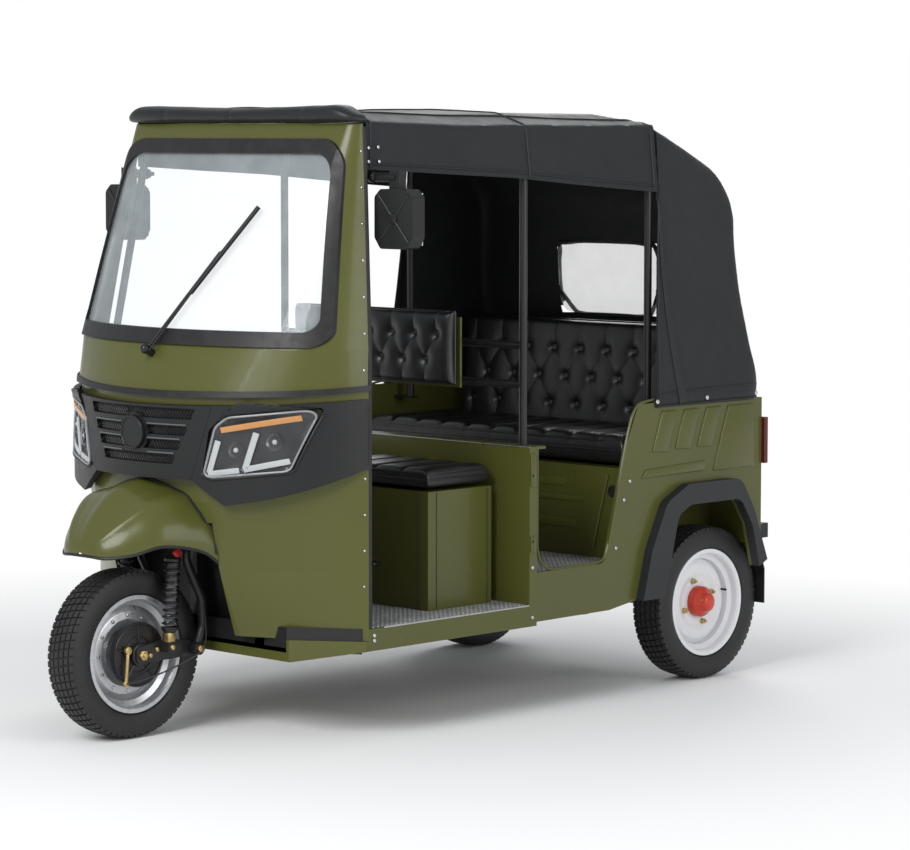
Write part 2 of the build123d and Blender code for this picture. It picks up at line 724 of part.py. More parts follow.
# Seats
seat_box = block((-SEAT_BOX_HALF, SEAT_BOX_HALF), SEAT_BOX_Y, (DRIVER_FLOOR, SEAT_BOX_TOP))
seat_box -= block(
    (-SEAT_BOX_HALF + THIN_SHEET, SEAT_BOX_HALF - THIN_SHEET),
    (SEAT_BOX_Y[0] + THIN_SHEET, SEAT_BOX_Y[1] - THIN_SHEET),
    (DRIVER_FLOOR - 1.0, SEAT_BOX_TOP - THIN_SHEET),
)
driver_cushion = block((-SEAT_BOX_HALF, SEAT_BOX_HALF), SEAT_BOX_Y, (SEAT_BOX_TOP, DRIVER_CUSHION_TOP))
driver_backrest = block((-BACKREST_HALF, BACKREST_HALF), BACKREST_Y, BACKREST_Z)
plate_back = BACKREST_Y[1] + THIN_SHEET
backrest_plate = block(
    (-BACKREST_HALF + 4.0, BACKREST_HALF - 4.0),
    (BACKREST_Y[1], plate_back),
    (BACKREST_Z[0] - 10.0, BACKREST_Z[1] - 20.0),
)
for height in BAR_HEIGHTS:
    bracket = block(
        (180.0, 220.0),
        (plate_back, B_TUBE[1] - TUBE_RADIUS - SEAT_GAP),
        (height - 8.0, height + 8.0),
    )
    backrest_plate = backrest_plate + bracket + mirrored(bracket)
seat_base = block((-587.0, 587.0), (DECK_FRONT, DECK_FRONT + SHEET), (rail_high, DECK_HEIGHT - THIN_SHEET))
seat_base += block((-587.0, 587.0), (DECK_FRONT, 1100.0), (DECK_HEIGHT - THIN_SHEET, DECK_HEIGHT))
bench_cushion = block((-BENCH_HALF, BENCH_HALF), (BENCH_FRONT, BENCH_BACK), (DECK_HEIGHT, BENCH_TOP))
bench_backrest = side_prism(BENCH_REST, (-540.0, 540.0))


# Canopy: the common volume of a side profile, a front view and a plan, hollowed by the same three moved in
def canopy_solid(inset):
    """The canopy's outer shape moved in by inset."""
    profile = offset(outline([(CANOPY_RUNOUT, 880.0), *CANOPY_PROFILE]), amount=-inset)
    low = min(z for _, z in CANOPY_FRONT)
    right = [(x, z) for x, z in CANOPY_FRONT]
    left = [(-x, z) for x, z in reversed(CANOPY_FRONT)]
    crown = [(420.0, CANOPY_CROWN - 8.0), (0.0, CANOPY_CROWN + 8.0, 3000.0), (-420.0, CANOPY_CROWN - 8.0)]
    face = offset(outline([*right, *crown, *left]), amount=-inset)
    plan_right = [(x, y) for y, x in CANOPY_PLAN]
    plan_left = [(-x, y) for y, x in reversed(CANOPY_PLAN)]
    rear = 1234.0
    plan = offset(
        outline([*plan_right, (610.0, rear, 70.0), (-610.0, rear, 70.0), *plan_left]), amount=-inset
    )
    side_plane = Plane(origin=(-700.0, 0, 0), x_dir=(0, 1, 0), z_dir=(1, 0, 0))
    front_plane = Plane(origin=(0, 1300.0, 0), x_dir=(1, 0, 0), z_dir=(0, -1, 0))
    solid = extrude(side_plane * profile, amount=1400.0)
    solid &= extrude(front_plane * face, amount=2000.0)
    solid &= extrude(Plane.XY.offset(low - 50.0) * plan, amount=1100.0)
    return solid


canopy = canopy_solid(0.0) - canopy_solid(CANOPY_SHEET)
below_hem = side_prism(
    [
        (-900.0, 600.0),
        (1500.0, 600.0),
        (1500.0, HEM_HEIGHT),
        DOOR_EDGE_LOW,
        DOOR_EDGE_MIDDLE,
        (*FLAP_REAR, 46.0),
        FLAP_FRONT,
        (-900.0, FLAP_FRONT[1]),
    ],
    WHOLE_WIDTH,
)
canopy -= below_hem
canopy -= block((-700.0, 700.0), (-900.0, VISOR_REAR + SEAT_GAP), (800.0, 2000.0))
canopy -= block(
    (-HALF_WIDTH - SEAT_GAP, HALF_WIDTH + SEAT_GAP),
    (PARTITION_BACK, TAIL_Y + SEAT_GAP),
    (600.0, TUB_TOP_FRONT + SEAT_GAP),
)
window_half, window_low, window_high, window_corner = REAR_WINDOW
window_hole = front_prism(
    [
        (-window_half, window_low, window_corner),
        (window_half, window_low, window_corner),
        (window_half, window_high, window_corner),
        (-window_half, window_high, window_corner),
    ],
    (1000.0, 1300.0),
)
window_pane = canopy & window_hole
canopy -= window_hole
rear_zone = side_prism(
    [
        (600.0, 800.0),
        (600.0, CANOPY_SPLIT[1]),
        (CANOPY_SPLIT[0], CANOPY_SPLIT[1]),
        (CANOPY_SPLIT[0], 1900.0),
        (1300.0, 1900.0),
        (1300.0, 800.0),
    ],
    WHOLE_WIDTH,
)
canopy_rear = canopy & rear_zone
canopy_roof = canopy - rear_zone

# Hoops and bars that carry the canopy and the driver's backrest
b_x, b_y = B_TUBE
c_x, c_y = C_TUBE
hoop_top = 1788.0
b_hoop = bent_tube(
    [(-b_x, b_y, PARTITION_TOP), (-b_x, b_y, hoop_top), (b_x, b_y, hoop_top), (b_x, b_y, PARTITION_TOP)],
    TUBE_RADIUS,
    HOOP_BEND,
)
for height in BAR_HEIGHTS:
    b_hoop += rod((-b_x, b_y, height), (b_x, b_y, height), TUBE_RADIUS)
c_top = 1740.0
c_hoop = bent_tube(
    [(-c_x, c_y, 880.0), (-c_x, c_y, c_top), (c_x, c_y, c_top), (c_x, c_y, 880.0)],
    TUBE_RADIUS,
    HOOP_BEND,
)
c_foot = block((c_x, HALF_WIDTH - SHEET), (c_y - 20.0, c_y + 20.0), (874.0, 880.0))
c_foot += block((c_x - 14.0, c_x + 2.0), (c_y - 20.0, c_y + 20.0), (874.0, 880.0))
c_hoop = c_hoop + c_foot + mirrored(c_foot)
front_post = bent_tube(
    [(572.0, -574.0, DRIVER_FLOOR), (572.0, -574.0, 1020.0), (466.0, -486.0, 1792.0)],
    12.0,
    300.0,
)
canopy_frame = gather(b_hoop, c_hoop, front_post, mirrored(front_post))

# Tail lamps, buffers and mirrors
tail_lamp = block((556.0, 612.0), (TAIL_Y, TAIL_Y + 18.0), (694.0, 845.0))
tail_lamps = both_sides(tail_lamp)
buffer = block((560.0, 600.0), (TAIL_Y, 1260.0), (446.0, 494.0))
buffers = both_sides(buffer)
mirror_shell = front_prism(
    [
        (524.0, 1470.0, 16.0),
        (548.0, 1437.0, 16.0),
        (656.0, 1437.0, 16.0),
        (680.0, 1470.0, 16.0),
        (680.0, 1588.0, 16.0),
        (656.0, 1611.0, 16.0),
        (548.0, 1611.0, 16.0),
        (524.0, 1588.0, 16.0),
    ],
    (-490.0, -440.0),
)
mirror_neck = block((575.0, 615.0), (-480.0, -450.0), (1600.0, 1664.0))
mirror_arm = rod((496.0, -470.0, 1645.0), (600.0, -470.0, 1645.0), 14.0)
mirror_foot = block((478.0, 502.0), (-489.9, -462.0), (1639.0, 1651.0))
mirrors = both_sides(mirror_shell + mirror_neck + mirror_arm + mirror_foot)

# Wiper: pivot, arm and blade just outside the glass
wiper_pivot = rod((0.0, -918.0, 1140.0), (0.0, -884.0, 1122.0), 12.0)
wiper_arm = rod((0.0, -912.0, 1140.0), (160.0, -764.0, 1425.0), 5.0)
wiper_blade = rod((92.0, -822.0, 1304.0), (241.0, -686.0, 1557.0), 7.0)
wiper = (wiper_pivot + wiper_arm + wiper_blade) - front_solid(HEADER_SECTIONS, 0.0, POST_WRAP)

# Engine under the driver's seat, its propeller shaft, and the rear axle on leaf springs
engine = block((-ENGINE_HALF, ENGINE_HALF), ENGINE_Y, ENGINE_Z)
axle_height = TYRE_RADIUS
drum_centre = HALF_TRACK - 62.0
rear_axle = rod(
    (-drum_centre, REAR_AXLE_Y, axle_height),
    (drum_centre, REAR_AXLE_Y, axle_height),
    AXLE_TUBE_RADIUS,
)
rear_axle += Pos(0, REAR_AXLE_Y, axle_height) * Sphere(DIFF_RADIUS)
rear_axle += rod((-560.0, REAR_AXLE_Y, axle_height), (560.0, REAR_AXLE_Y, axle_height), AXLE_RADIUS)
rear_axle += disc_x((drum_centre, REAR_AXLE_Y, axle_height), DRUM_RADIUS, DRUM_WIDTH)
rear_axle += disc_x((-drum_centre, REAR_AXLE_Y, axle_height), DRUM_RADIUS, DRUM_WIDTH)
rear_axle += rod(
    (0.0, ENGINE_Y[1] + SEAT_GAP + 0.3, 262.0),
    (0.0, REAR_AXLE_Y - 60.0, axle_height),
    SHAFT_RADIUS,
)
leaf = side_prism(
    [
        (650.0, 352.0),
        (830.0, 306.0, 200.0),
        (1010.0, 290.0, 300.0),
        (1120.0, 304.0, 200.0),
        (1196.0, 338.0),
        (1196.0, 346.0),
        (1120.0, 322.0, 200.0),
        (1010.0, 316.0, 300.0),
        (830.0, 322.0, 200.0),
        (650.0, 362.0),
    ],
    (SPRING_X - SPRING_WIDTH / 2, SPRING_X + SPRING_WIDTH / 2),
)
leaf += block((SPRING_X - 16.0, SPRING_X + 16.0), (650.0, 676.0), (352.0, 370.0))
leaf += block((SPRING_X - 16.0, SPRING_X + 16.0), (1170.0, 1196.0), (338.0, 370.0))
leaf += block((SPRING_X - 30.0, SPRING_X + 30.0), (970.0, 1050.0), (axle_height + AXLE_TUBE_RADIUS, 300.0))
leaf_springs = both_sides(leaf)

# Tyre and rim sections about the wheel's axle: (X, radius, corner radius)
half_tyre = TYRE_WIDTH / 2
tyre_section = [
    (-BEAD_HALF, BEAD_RADIUS),
    (-BEAD_HALF - 0.5, BEAD_RADIUS + RIM_LIP + 2.0),
    (-half_tyre, BEAD_RADIUS + 30.0, 20.0),
    (-half_tyre, TYRE_RADIUS - 26.0, 20.0),
    (-46.0, TYRE_RADIUS, 10.0),
    (46.0, TYRE_RADIUS, 10.0),
    (half_tyre, TYRE_RADIUS - 26.0, 20.0),
    (half_tyre, BEAD_RADIUS + 30.0, 20.0),
    (BEAD_HALF + 0.5, BEAD_RADIUS + RIM_LIP + 2.0),
    (BEAD_HALF, BEAD_RADIUS),
]
half_rim = RIM_WIDTH / 2
rim_section = [
    (-half_rim, BEAD_RADIUS + RIM_LIP),
    (-half_rim + 5.0, BEAD_RADIUS + RIM_LIP),
    (-half_rim + 6.0, BEAD_RADIUS - BORE_CLEARANCE),
    (-36.0, BEAD_RADIUS - BORE_CLEARANCE),
    (-24.0, BEAD_RADIUS - 2.0),
    (-17.0, RIM_WELL_RADIUS),
    (17.0, RIM_WELL_RADIUS),
    (24.0, BEAD_RADIUS - 2.0),
    (36.0, BEAD_RADIUS - BORE_CLEARANCE),
    (half_rim - 6.0, BEAD_RADIUS - BORE_CLEARANCE),
    (half_rim - 5.0, BEAD_RADIUS + RIM_LIP),
    (half_rim, BEAD_RADIUS + RIM_LIP),
    (half_rim, BEAD_RADIUS - 4.0),
    (half_rim - 6.0, BEAD_RADIUS - RIM_WALL - 3.0),
    (27.0, BEAD_RADIUS - RIM_WALL - 4.0),
    (20.0, RIM_WELL_RADIUS - RIM_WALL),
    (-20.0, RIM_WELL_RADIUS - RIM_WALL),
    (-27.0, BEAD_RADIUS - RIM_WALL - 4.0),
    (-half_rim + 6.0, BEAD_RADIUS - RIM_WALL - 3.0),
    (-half_rim, BEAD_RADIUS - 4.0),
]
disc_section = [
    (-10.0, RIM_WELL_RADIUS - 1.0),
    (-2.0, RIM_WELL_RADIUS - 1.0),
    (14.0, 122.0, 8.0),
    (18.0, 100.0, 8.0),
    (10.0, 78.0, 6.0),
    (10.0, 30.0),
    (4.0, 30.0),
    (4.0, 80.0, 6.0),
    (11.0, 98.0, 6.0),
    (7.0, 118.0, 6.0),
]


def wheel_rim(centre, bore, hub_range):
    """A dished rim with its hub, bored for the axle."""
    rim = turned_x(rim_section, centre) + turned_x(disc_section, centre)
    hub_low, hub_high = hub_range
    middle = (centre[0] + (hub_low + hub_high) / 2, *centre[1:])
    rim += disc_x(middle, HUB_RADIUS, hub_high - hub_low)
    return rim - disc_x(middle, bore, hub_high - hub_low + 2.0)


front_centre = (0.0, FRONT_AXLE_Y, TYRE_RADIUS)
front_tyre = turned_x(tyre_section, front_centre)
front_rim = wheel_rim(front_centre, AXLE_RADIUS + BORE_CLEARANCE, (-44.0, 44.0))
rear_centre = (HALF_TRACK, REAR_AXLE_Y, TYRE_RADIUS)
rear_tyre_left = turned_x(tyre_section, rear_centre)
rear_rim_left = wheel_rim(rear_centre, AXLE_RADIUS + BORE_CLEARANCE, (-40.0, 40.0))
rear_tyre_right = mirrored(rear_tyre_left)
rear_rim_right = mirrored(rear_rim_left)

# Steering: stem and crown, two curved legs, leading arms, shock absorbers and the front axle
stem_flat = steer_point(STEM_TOP).Z - 8.0
steering_stem = rod(steer_point(HEAD_LOW - CROWN_DEPTH), steer_point(STEM_TOP), STEM_RADIUS)
steering_stem -= block((-60.0, 60.0), (-900.0, -500.0), (stem_flat, stem_flat + 100.0))
crown = STEER_PLANE * block(
    (-CROWN_HALF, CROWN_HALF), CROWN_BACK, (HEAD_LOW - SEAT_GAP - CROWN_DEPTH, HEAD_LOW - SEAT_GAP)
)
crown_low = steer_point(HEAD_LOW - SEAT_GAP - CROWN_DEPTH, 20.0)
leg = bent_tube(
    [
        (LEG_X, crown_low.Y, crown_low.Z + 4.0),
        (LEG_X, -862.0, 530.0),
        (LEG_X, -792.0, 400.0),
        (LEG_X, -786.0, 320.0),
        (LEG_X, *ARM_PIVOT),
    ],
    LEG_RADIUS,
    60.0,
)
pivot_boss = disc_x((LEG_X, *ARM_PIVOT), 20.0, 2 * LEG_RADIUS)
steering_fork = steering_stem + crown + leg + mirrored(leg) + pivot_boss + mirrored(pivot_boss)
arm = side_prism(
    [
        (ARM_PIVOT[0] + 18.0, ARM_PIVOT[1] - 22.0, 10.0),
        (ARM_PIVOT[0] + 18.0, ARM_PIVOT[1] + 20.0, 10.0),
        (SHOCK_LOW[0], SHOCK_LOW[1] - 4.0, 10.0),
        (FRONT_AXLE_Y - 24.0, TYRE_RADIUS + 24.0, 16.0),
        (FRONT_AXLE_Y - 24.0, TYRE_RADIUS - 24.0, 16.0),
    ],
    (ARM_INNER, ARM_OUTER - SEAT_GAP),
)
arm_eye = block(
    (ARM_OUTER - SEAT_GAP, SHOCK_X + 16.0),
    (SHOCK_LOW[0] - 14.0, SHOCK_LOW[0] + 14.0),
    (254.0, ARM_EYE_TOP),
)
leading_arms = both_sides(arm + arm_eye)
shock_high = (SHOCK_X, *SHOCK_HIGH)
shock_body = rod((SHOCK_X, SHOCK_LOW[0], 276.0), shock_high, 13.0)
shock_body -= block((SHOCK_X - 30.0, SHOCK_X + 30.0), (-980.0, -880.0), (240.0, ARM_EYE_TOP))
shock_spring = rod(
    (SHOCK_X, SHOCK_LOW[0] + 3.0, 322.0),
    (SHOCK_X, SHOCK_HIGH[0] - 2.0, 548.0),
    SPRING_RADIUS,
)
shocks = both_sides(shock_body + shock_spring)
front_axle = rod(
    (-ARM_INNER, FRONT_AXLE_Y, TYRE_RADIUS),
    (ARM_INNER, FRONT_AXLE_Y, TYRE_RADIUS),
    AXLE_RADIUS,
)
front_axle += disc_x((58.0, FRONT_AXLE_Y, TYRE_RADIUS), BRAKE_PLATE_RADIUS, 16.0)
clamp_y = steer_point(STEM_TOP).Y - 3.0
bar_z = stem_flat + CLAMP_HEIGHT / 2
handlebar = bent_tube(
    [
        (-GRIP_HALF, clamp_y + 88.0, bar_z + 28.0),
        (-140.0, clamp_y + 12.0, bar_z + 18.0),
        (-70.0, clamp_y, bar_z),
        (70.0, clamp_y, bar_z),
        (140.0, clamp_y + 12.0, bar_z + 18.0),
        (GRIP_HALF, clamp_y + 88.0, bar_z + 28.0),
    ],
    BAR_RADIUS,
    60.0,
)
handlebar += block(
    (-CLAMP_HALF, CLAMP_HALF),
    (clamp_y - 20.0, clamp_y + 20.0),
    (stem_flat, stem_flat + CLAMP_HEIGHT),
)

# Dashboard: an upright panel and a shelf behind the nose, with a slot for the stem
nose_inside = front_solid(NOSE_SECTIONS, SHEET + SEAT_GAP, SEAM_GAP)
dashboard = block((-590.0, 590.0), (-640.0, -632.0), (700.0, 968.0))
dashboard += block((-590.0, 590.0), (-950.0, -632.0), (960.0, 968.0))
dashboard &= nose_inside
dashboard -= block((-60.0, 60.0), (-830.0, -650.0), (900.0, 1000.0))

NODES = {
    "lower_nose_panel": nose,
    "upper_front_panel": header,
    "windscreen_seal": seal,
    "windscreen_glass": glass,
    "belt_strip": belt,
    "front_grille": grille,
    "lamp_bezels": bezels,
    "headlamps": headlamps,
    "roof_visor": visor,
    "front_fender": fender,
    "wheel_well_liner": liner,
    "dashboard": dashboard,
    "driver_floor": driver_floor,
    "passenger_floor": passenger_floor,
    "chassis_frame": chassis,
    "front_beam": front_beam,
    "partition": partition,
    "tub_side_left": tub_left,
    "tub_side_right": tub_right,
    "tail_panel": tail_panel,
    "wheel_housings": housings,
    "arch_flares": flares,
    "mud_flaps": mud_flaps,
    "seat_box": seat_box,
    "driver_cushion": driver_cushion,
    "driver_backrest": driver_backrest,
    "backrest_plate": backrest_plate,
    "seat_base": seat_base,
    "bench_cushion": bench_cushion,
    "bench_backrest": bench_backrest,
    "canopy_roof": canopy_roof,
    "canopy_rear": canopy_rear,
    "rear_window": window_pane,
    "canopy_frame": canopy_frame,
    "tail_lamps": tail_lamps,
    "rear_buffers": buffers,
    "mirrors": mirrors,
    "wiper": wiper,
    "engine_block": engine,
    "rear_axle": rear_axle,
    "leaf_springs": leaf_springs,
    "steering_fork": steering_fork,
    "leading_arms": leading_arms,
    "shock_absorbers": shocks,
    "front_axle": front_axle,
    "handlebar": handlebar,
    "front_tyre": front_tyre,
    "front_rim": front_rim,
    "rear_tyre_left": rear_tyre_left,
    "rear_rim_left": rear_rim_left,
    "rear_tyre_right": rear_tyre_right,
    "rear_rim_right": rear_rim_right,
}

os.makedirs("parts", exist_ok=True)
for name, shape in NODES.items():
    export_step(shape, f"parts/{name}.step")
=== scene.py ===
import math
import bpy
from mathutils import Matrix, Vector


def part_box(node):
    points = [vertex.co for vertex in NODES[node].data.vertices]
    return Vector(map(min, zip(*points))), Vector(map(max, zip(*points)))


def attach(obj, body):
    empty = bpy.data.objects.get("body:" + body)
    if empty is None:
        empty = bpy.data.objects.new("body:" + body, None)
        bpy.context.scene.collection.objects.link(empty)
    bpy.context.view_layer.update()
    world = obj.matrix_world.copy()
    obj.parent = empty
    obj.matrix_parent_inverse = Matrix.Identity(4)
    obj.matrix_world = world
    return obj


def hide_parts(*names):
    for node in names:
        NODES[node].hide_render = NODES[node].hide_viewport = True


bl_info = {
    "name": "Passenger tricycle",
    "version": (1, 0, 0),
    "blender": (4, 5, 0),
    "location": "View3D > Sidebar > Tricycle",
    "description": "Dresses the tricycle's frame with its finished pieces, materials, floor and lights",
    "category": "Object",
}

import bpy
from bpy.props import FloatProperty, FloatVectorProperty, IntProperty, PointerProperty
from mathutils import Matrix, Vector, noise
from mathutils.bvhtree import BVHTree

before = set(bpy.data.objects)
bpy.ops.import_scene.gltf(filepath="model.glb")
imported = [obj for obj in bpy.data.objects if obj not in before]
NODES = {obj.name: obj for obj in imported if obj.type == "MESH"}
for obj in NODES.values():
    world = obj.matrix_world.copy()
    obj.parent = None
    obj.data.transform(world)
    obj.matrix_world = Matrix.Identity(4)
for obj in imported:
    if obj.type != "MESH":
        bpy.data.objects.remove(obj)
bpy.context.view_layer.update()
BODY = "chassis"
STEERING = "steering"

# Places that several pieces share, read from the frame
FRONT_TYRE_LOW, FRONT_TYRE_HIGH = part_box("front_tyre")
LEFT_TYRE_LOW, LEFT_TYRE_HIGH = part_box("rear_tyre_left")
FRONT_HUB = (FRONT_TYRE_LOW + FRONT_TYRE_HIGH) / 2
LEFT_HUB = (LEFT_TYRE_LOW + LEFT_TYRE_HIGH) / 2
RIGHT_HUB = Vector((-LEFT_HUB.x, LEFT_HUB.y, LEFT_HUB.z))
TYRE_RADIUS = (FRONT_TYRE_HIGH.z - FRONT_TYRE_LOW.z) / 2
TYRE_HALF = (FRONT_TYRE_HIGH.x - FRONT_TYRE_LOW.x) / 2
# How far off a search line starts, beyond any face
SPAN = 2.0
LEFTWARDS = Vector((1.0, 0.0, 0.0))
BACKWARDS = Vector((0.0, 1.0, 0.0))


class TyreSizes(bpy.types.PropertyGroup):
    """Sizes of the tyres' tread."""

    pitches: IntProperty(name="Pitches", description="Tread blocks round the tyre", default=66)
    depth: FloatProperty(name="Tread depth", description="Depth of the grooves", default=0.006, unit="LENGTH")
    groove: FloatProperty(name="Groove", description="Width of a groove", default=0.005, unit="LENGTH")


class Colours(bpy.types.PropertyGroup):
    """Colours of the main finishes."""

    paint: FloatVectorProperty(
        name="Paint", description="Olive body paint", subtype="COLOR", default=(0.077, 0.081, 0.017)
    )
    hub: FloatVectorProperty(
        name="Hub", description="Orange-red hub paint", subtype="COLOR", default=(0.56, 0.045, 0.02)
    )
    amber: FloatVectorProperty(
        name="Amber", description="Turn signal", subtype="COLOR", default=(0.52, 0.235, 0.065)
    )


class StageSettings(bpy.types.PropertyGroup):
    """The camera, the lamps and the floor."""

    lens: FloatProperty(name="Lens", description="Focal length in millimetres", default=133.83)
    azimuth: FloatProperty(
        name="Azimuth", description="Turn round the object", subtype="ANGLE", default=math.radians(44.45)
    )
    pitch: FloatProperty(
        name="Pitch", description="How far the camera looks down", subtype="ANGLE", default=math.radians(4.78)
    )
    place: FloatVectorProperty(
        name="Place", description="Where the camera stands", unit="LENGTH", default=(7.5203, -7.4492, 1.7846)
    )
    shift: FloatVectorProperty(
        name="Shift", description="Shift of the view across and up", size=2, default=(0.0430, -0.01444)
    )
    key: FloatProperty(name="Key", description="Strength of the main lamp in watts", default=330.0)
    fill: FloatProperty(name="Fill", description="Strength of the fill lamp in watts", default=120.0)
    floor_near: FloatProperty(name="Floor near", description="Where the floor starts to fade", default=1.7)
    floor_far: FloatProperty(name="Floor far", description="Where the floor is all white", default=3.4)
    sky: FloatProperty(name="Sky", description="Strength of the light all round", default=0.56)


class TricycleSettings(bpy.types.PropertyGroup):
    """All settings of the tricycle."""

    tyres: PointerProperty(type=TyreSizes)
    colours: PointerProperty(type=Colours)
    stage: PointerProperty(type=StageSettings)


def settings():
    """The scene's own settings."""
    return bpy.context.scene.tricycle


# Shader maths


class Value:
    """A socket that takes part in Python arithmetic."""

    def __init__(self, finish, socket):
        self.finish = finish
        self.socket = socket

    def math(self, operation, *others):
        return self.finish.node("ShaderNodeMath", {"operation": operation}, [self, *others])

    def __add__(self, other):
        return self.math("ADD", other)

    def __sub__(self, other):
        return self.math("SUBTRACT", other)

    def __rsub__(self, other):
        return self.finish.node("ShaderNodeMath", {"operation": "SUBTRACT"}, [other, self])

    def __mul__(self, other):
        return self.math("MULTIPLY", other)

    def __truediv__(self, other):
        return self.math("DIVIDE", other)

    def __mod__(self, other):
        return self.math("FLOORED_MODULO", other)

    def __gt__(self, other):
        return self.math("GREATER_THAN", other)

    def __lt__(self, other):
        return self.math("LESS_THAN", other)

    __radd__ = __add__
    __rmul__ = __mul__

    def between(self, low, high):
        """0 at low, 1 at high, straight between and held outside."""
        sockets = {"Value": self, "From Min": low, "From Max": high}
        return self.finish.node("ShaderNodeMapRange", {"clamp": True}, sockets)


class Finish:
    """One material, built from expressions."""

    def __init__(self, name, **shader_values):
        self.material = bpy.data.materials.new(name)
        self.material.use_nodes = True
        self.tree = self.material.node_tree
        self.tree.nodes.clear()
        output = self.tree.nodes.new("ShaderNodeOutputMaterial")
        self.shader = self.tree.nodes.new("ShaderNodeBsdfPrincipled")
        self.tree.links.new(self.shader.outputs[0], output.inputs[0])
        for socket, value in shader_values.items():
            self.set(socket.replace("_", " "), value)

    def node(self, kind, options=None, sockets=None, output=0):
        """Adds a node: its settings first, then the values or links of its sockets."""
        made = self.tree.nodes.new(kind)
        for key, value in (options or {}).items():
            setattr(made, key, value)
        pairs = enumerate(sockets) if isinstance(sockets, (list, tuple)) else (sockets or {}).items()
        for key, value in pairs:
            self.plug(made.inputs[key], value)
        return Value(self, made.outputs[output])

    def plug(self, socket, value):
        """Links a value to a socket, or sets it."""
        if isinstance(value, Value):
            self.tree.links.new(value.socket, socket)
        elif hasattr(value, "__len__") and len(value) == 3 and socket.type == "RGBA":
            socket.default_value = (*value, 1.0)
        else:
            socket.default_value = value

    def set(self, socket, value):
        """Sets or links one of the shader's own sockets."""
        self.plug(self.shader.inputs[socket], value)

    def place(self, stretch=(1.0, 1.0, 1.0)):
        """Object coordinates, stretched."""
        coordinates = self.node("ShaderNodeTexCoord", output="Object")
        return self.node("ShaderNodeMapping", sockets={"Vector": coordinates, "Scale": stretch})

    def axes(self, vector):
        """The three parts of a vector."""
        split = self.node("ShaderNodeSeparateXYZ", sockets=[vector]).socket.node
        return [Value(self, split.outputs[i]) for i in range(3)]

    def grain(self, scale, detail=3.0):
        """Soft random values about 0.5."""
        sockets = {"Scale": scale, "Detail": detail, "Roughness": 0.55, "Vector": self.place()}
        return self.node("ShaderNodeTexNoise", sockets=sockets)

    def cells(self, scale, feature="F1"):
        """Distance to the nearest of many scattered points."""
        sockets = {"Scale": scale, "Vector": self.place()}
        return self.node("ShaderNodeTexVoronoi", {"feature": feature}, sockets)

    def mix(self, share, first, second):
        """A colour between two colours."""
        sockets = {"Factor": share, 6: first, 7: second}
        return self.node("ShaderNodeMix", {"data_type": "RGBA"}, sockets, output=2)

    def bump(self, height, distance, strength=1.0):
        """Tilts the surface by a height pattern, given in metres at strength 1."""
        sockets = {"Height": height, "Distance": distance, "Strength": strength}
        self.set("Normal", self.node("ShaderNodeBump", sockets=sockets))


def paint(name, colour, roughness=0.30, coat=0.12):
    """Sprayed enamel: fine orange peel, faint dust and a little colour drift."""
    finish = Finish(name, Coat_Weight=coat, Coat_Roughness=0.08, Specular_IOR_Level=0.30)
    drift = finish.grain(1.7, 2.0)
    dark = [c * 0.90 for c in colour]
    pale = [min(1.0, c * 1.08 + 0.002) for c in colour]
    finish.set("Base Color", finish.mix(drift, dark, pale))
    finish.set("Roughness", finish.grain(14.0, 4.0) * 0.14 + (roughness - 0.07))
    finish.bump(finish.grain(260.0, 2.0), 0.0002, 0.35)
    return finish.material


def grained_plastic(name, colour, roughness=0.42, scale=900.0, depth=0.00025):
    """Moulded plastic with a fine leather grain."""
    finish = Finish(name, Specular_IOR_Level=0.36)
    drift = finish.grain(6.0, 3.0)
    finish.set("Base Color", finish.mix(drift, [c * 0.8 for c in colour], [c * 1.25 for c in colour]))
    finish.set("Roughness", finish.grain(40.0, 3.0) * 0.16 + (roughness - 0.08))
    finish.bump(finish.cells(scale), depth, 0.5)
    return finish.material


def rubber(name, colour=(0.0095, 0.0095, 0.0102), roughness=0.44):
    """Extruded rubber with a dusty bloom."""
    finish = Finish(name, Specular_IOR_Level=0.4)
    bloom = finish.grain(24.0, 5.0).between(0.45, 0.8)
    finish.set("Base Color", finish.mix(bloom, colour, [c * 1.7 + 0.001 for c in colour]))
    finish.set("Roughness", bloom * 0.2 + roughness)
    finish.bump(finish.grain(700.0, 2.0), 0.0002, 0.4)
    return finish.material


def tyre_rubber():
    """Tyre rubber: dark, with a dusty bloom and a fine grain."""
    finish = Finish("tyre_rubber")
    bloom = finish.grain(30.0, 6.0).between(0.35, 0.85)
    finish.set("Base Color", finish.mix(bloom, (0.0085, 0.0085, 0.0090), (0.0185, 0.0185, 0.0190)))
    finish.set("Roughness", bloom * 0.18 + 0.52)
    finish.bump(finish.grain(900.0, 3.0), 0.0003, 0.5)
    return finish.material


def canopy_cloth():
    """Coated canvas: a fine weave under a soft coat, with slack wrinkles."""
    finish = Finish("canopy_cloth", Sheen_Weight=0.08, Sheen_Roughness=0.5, Specular_IOR_Level=0.28)
    drift = finish.grain(5.0, 4.0)
    finish.set("Base Color", finish.mix(drift, (0.0065, 0.0072, 0.0082), (0.0125, 0.0135, 0.0150)))
    finish.set("Roughness", finish.grain(18.0, 4.0) * 0.2 + 0.50)
    across, along, up = finish.axes(finish.place((2400.0, 2400.0, 2400.0)))
    threads = across.math("SINE") + along.math("SINE") + up.math("SINE")
    slack = finish.grain(9.0, 4.0)
    finish.bump(threads * 0.02 + slack * 1.6, 0.0035, 0.5)
    return finish.material


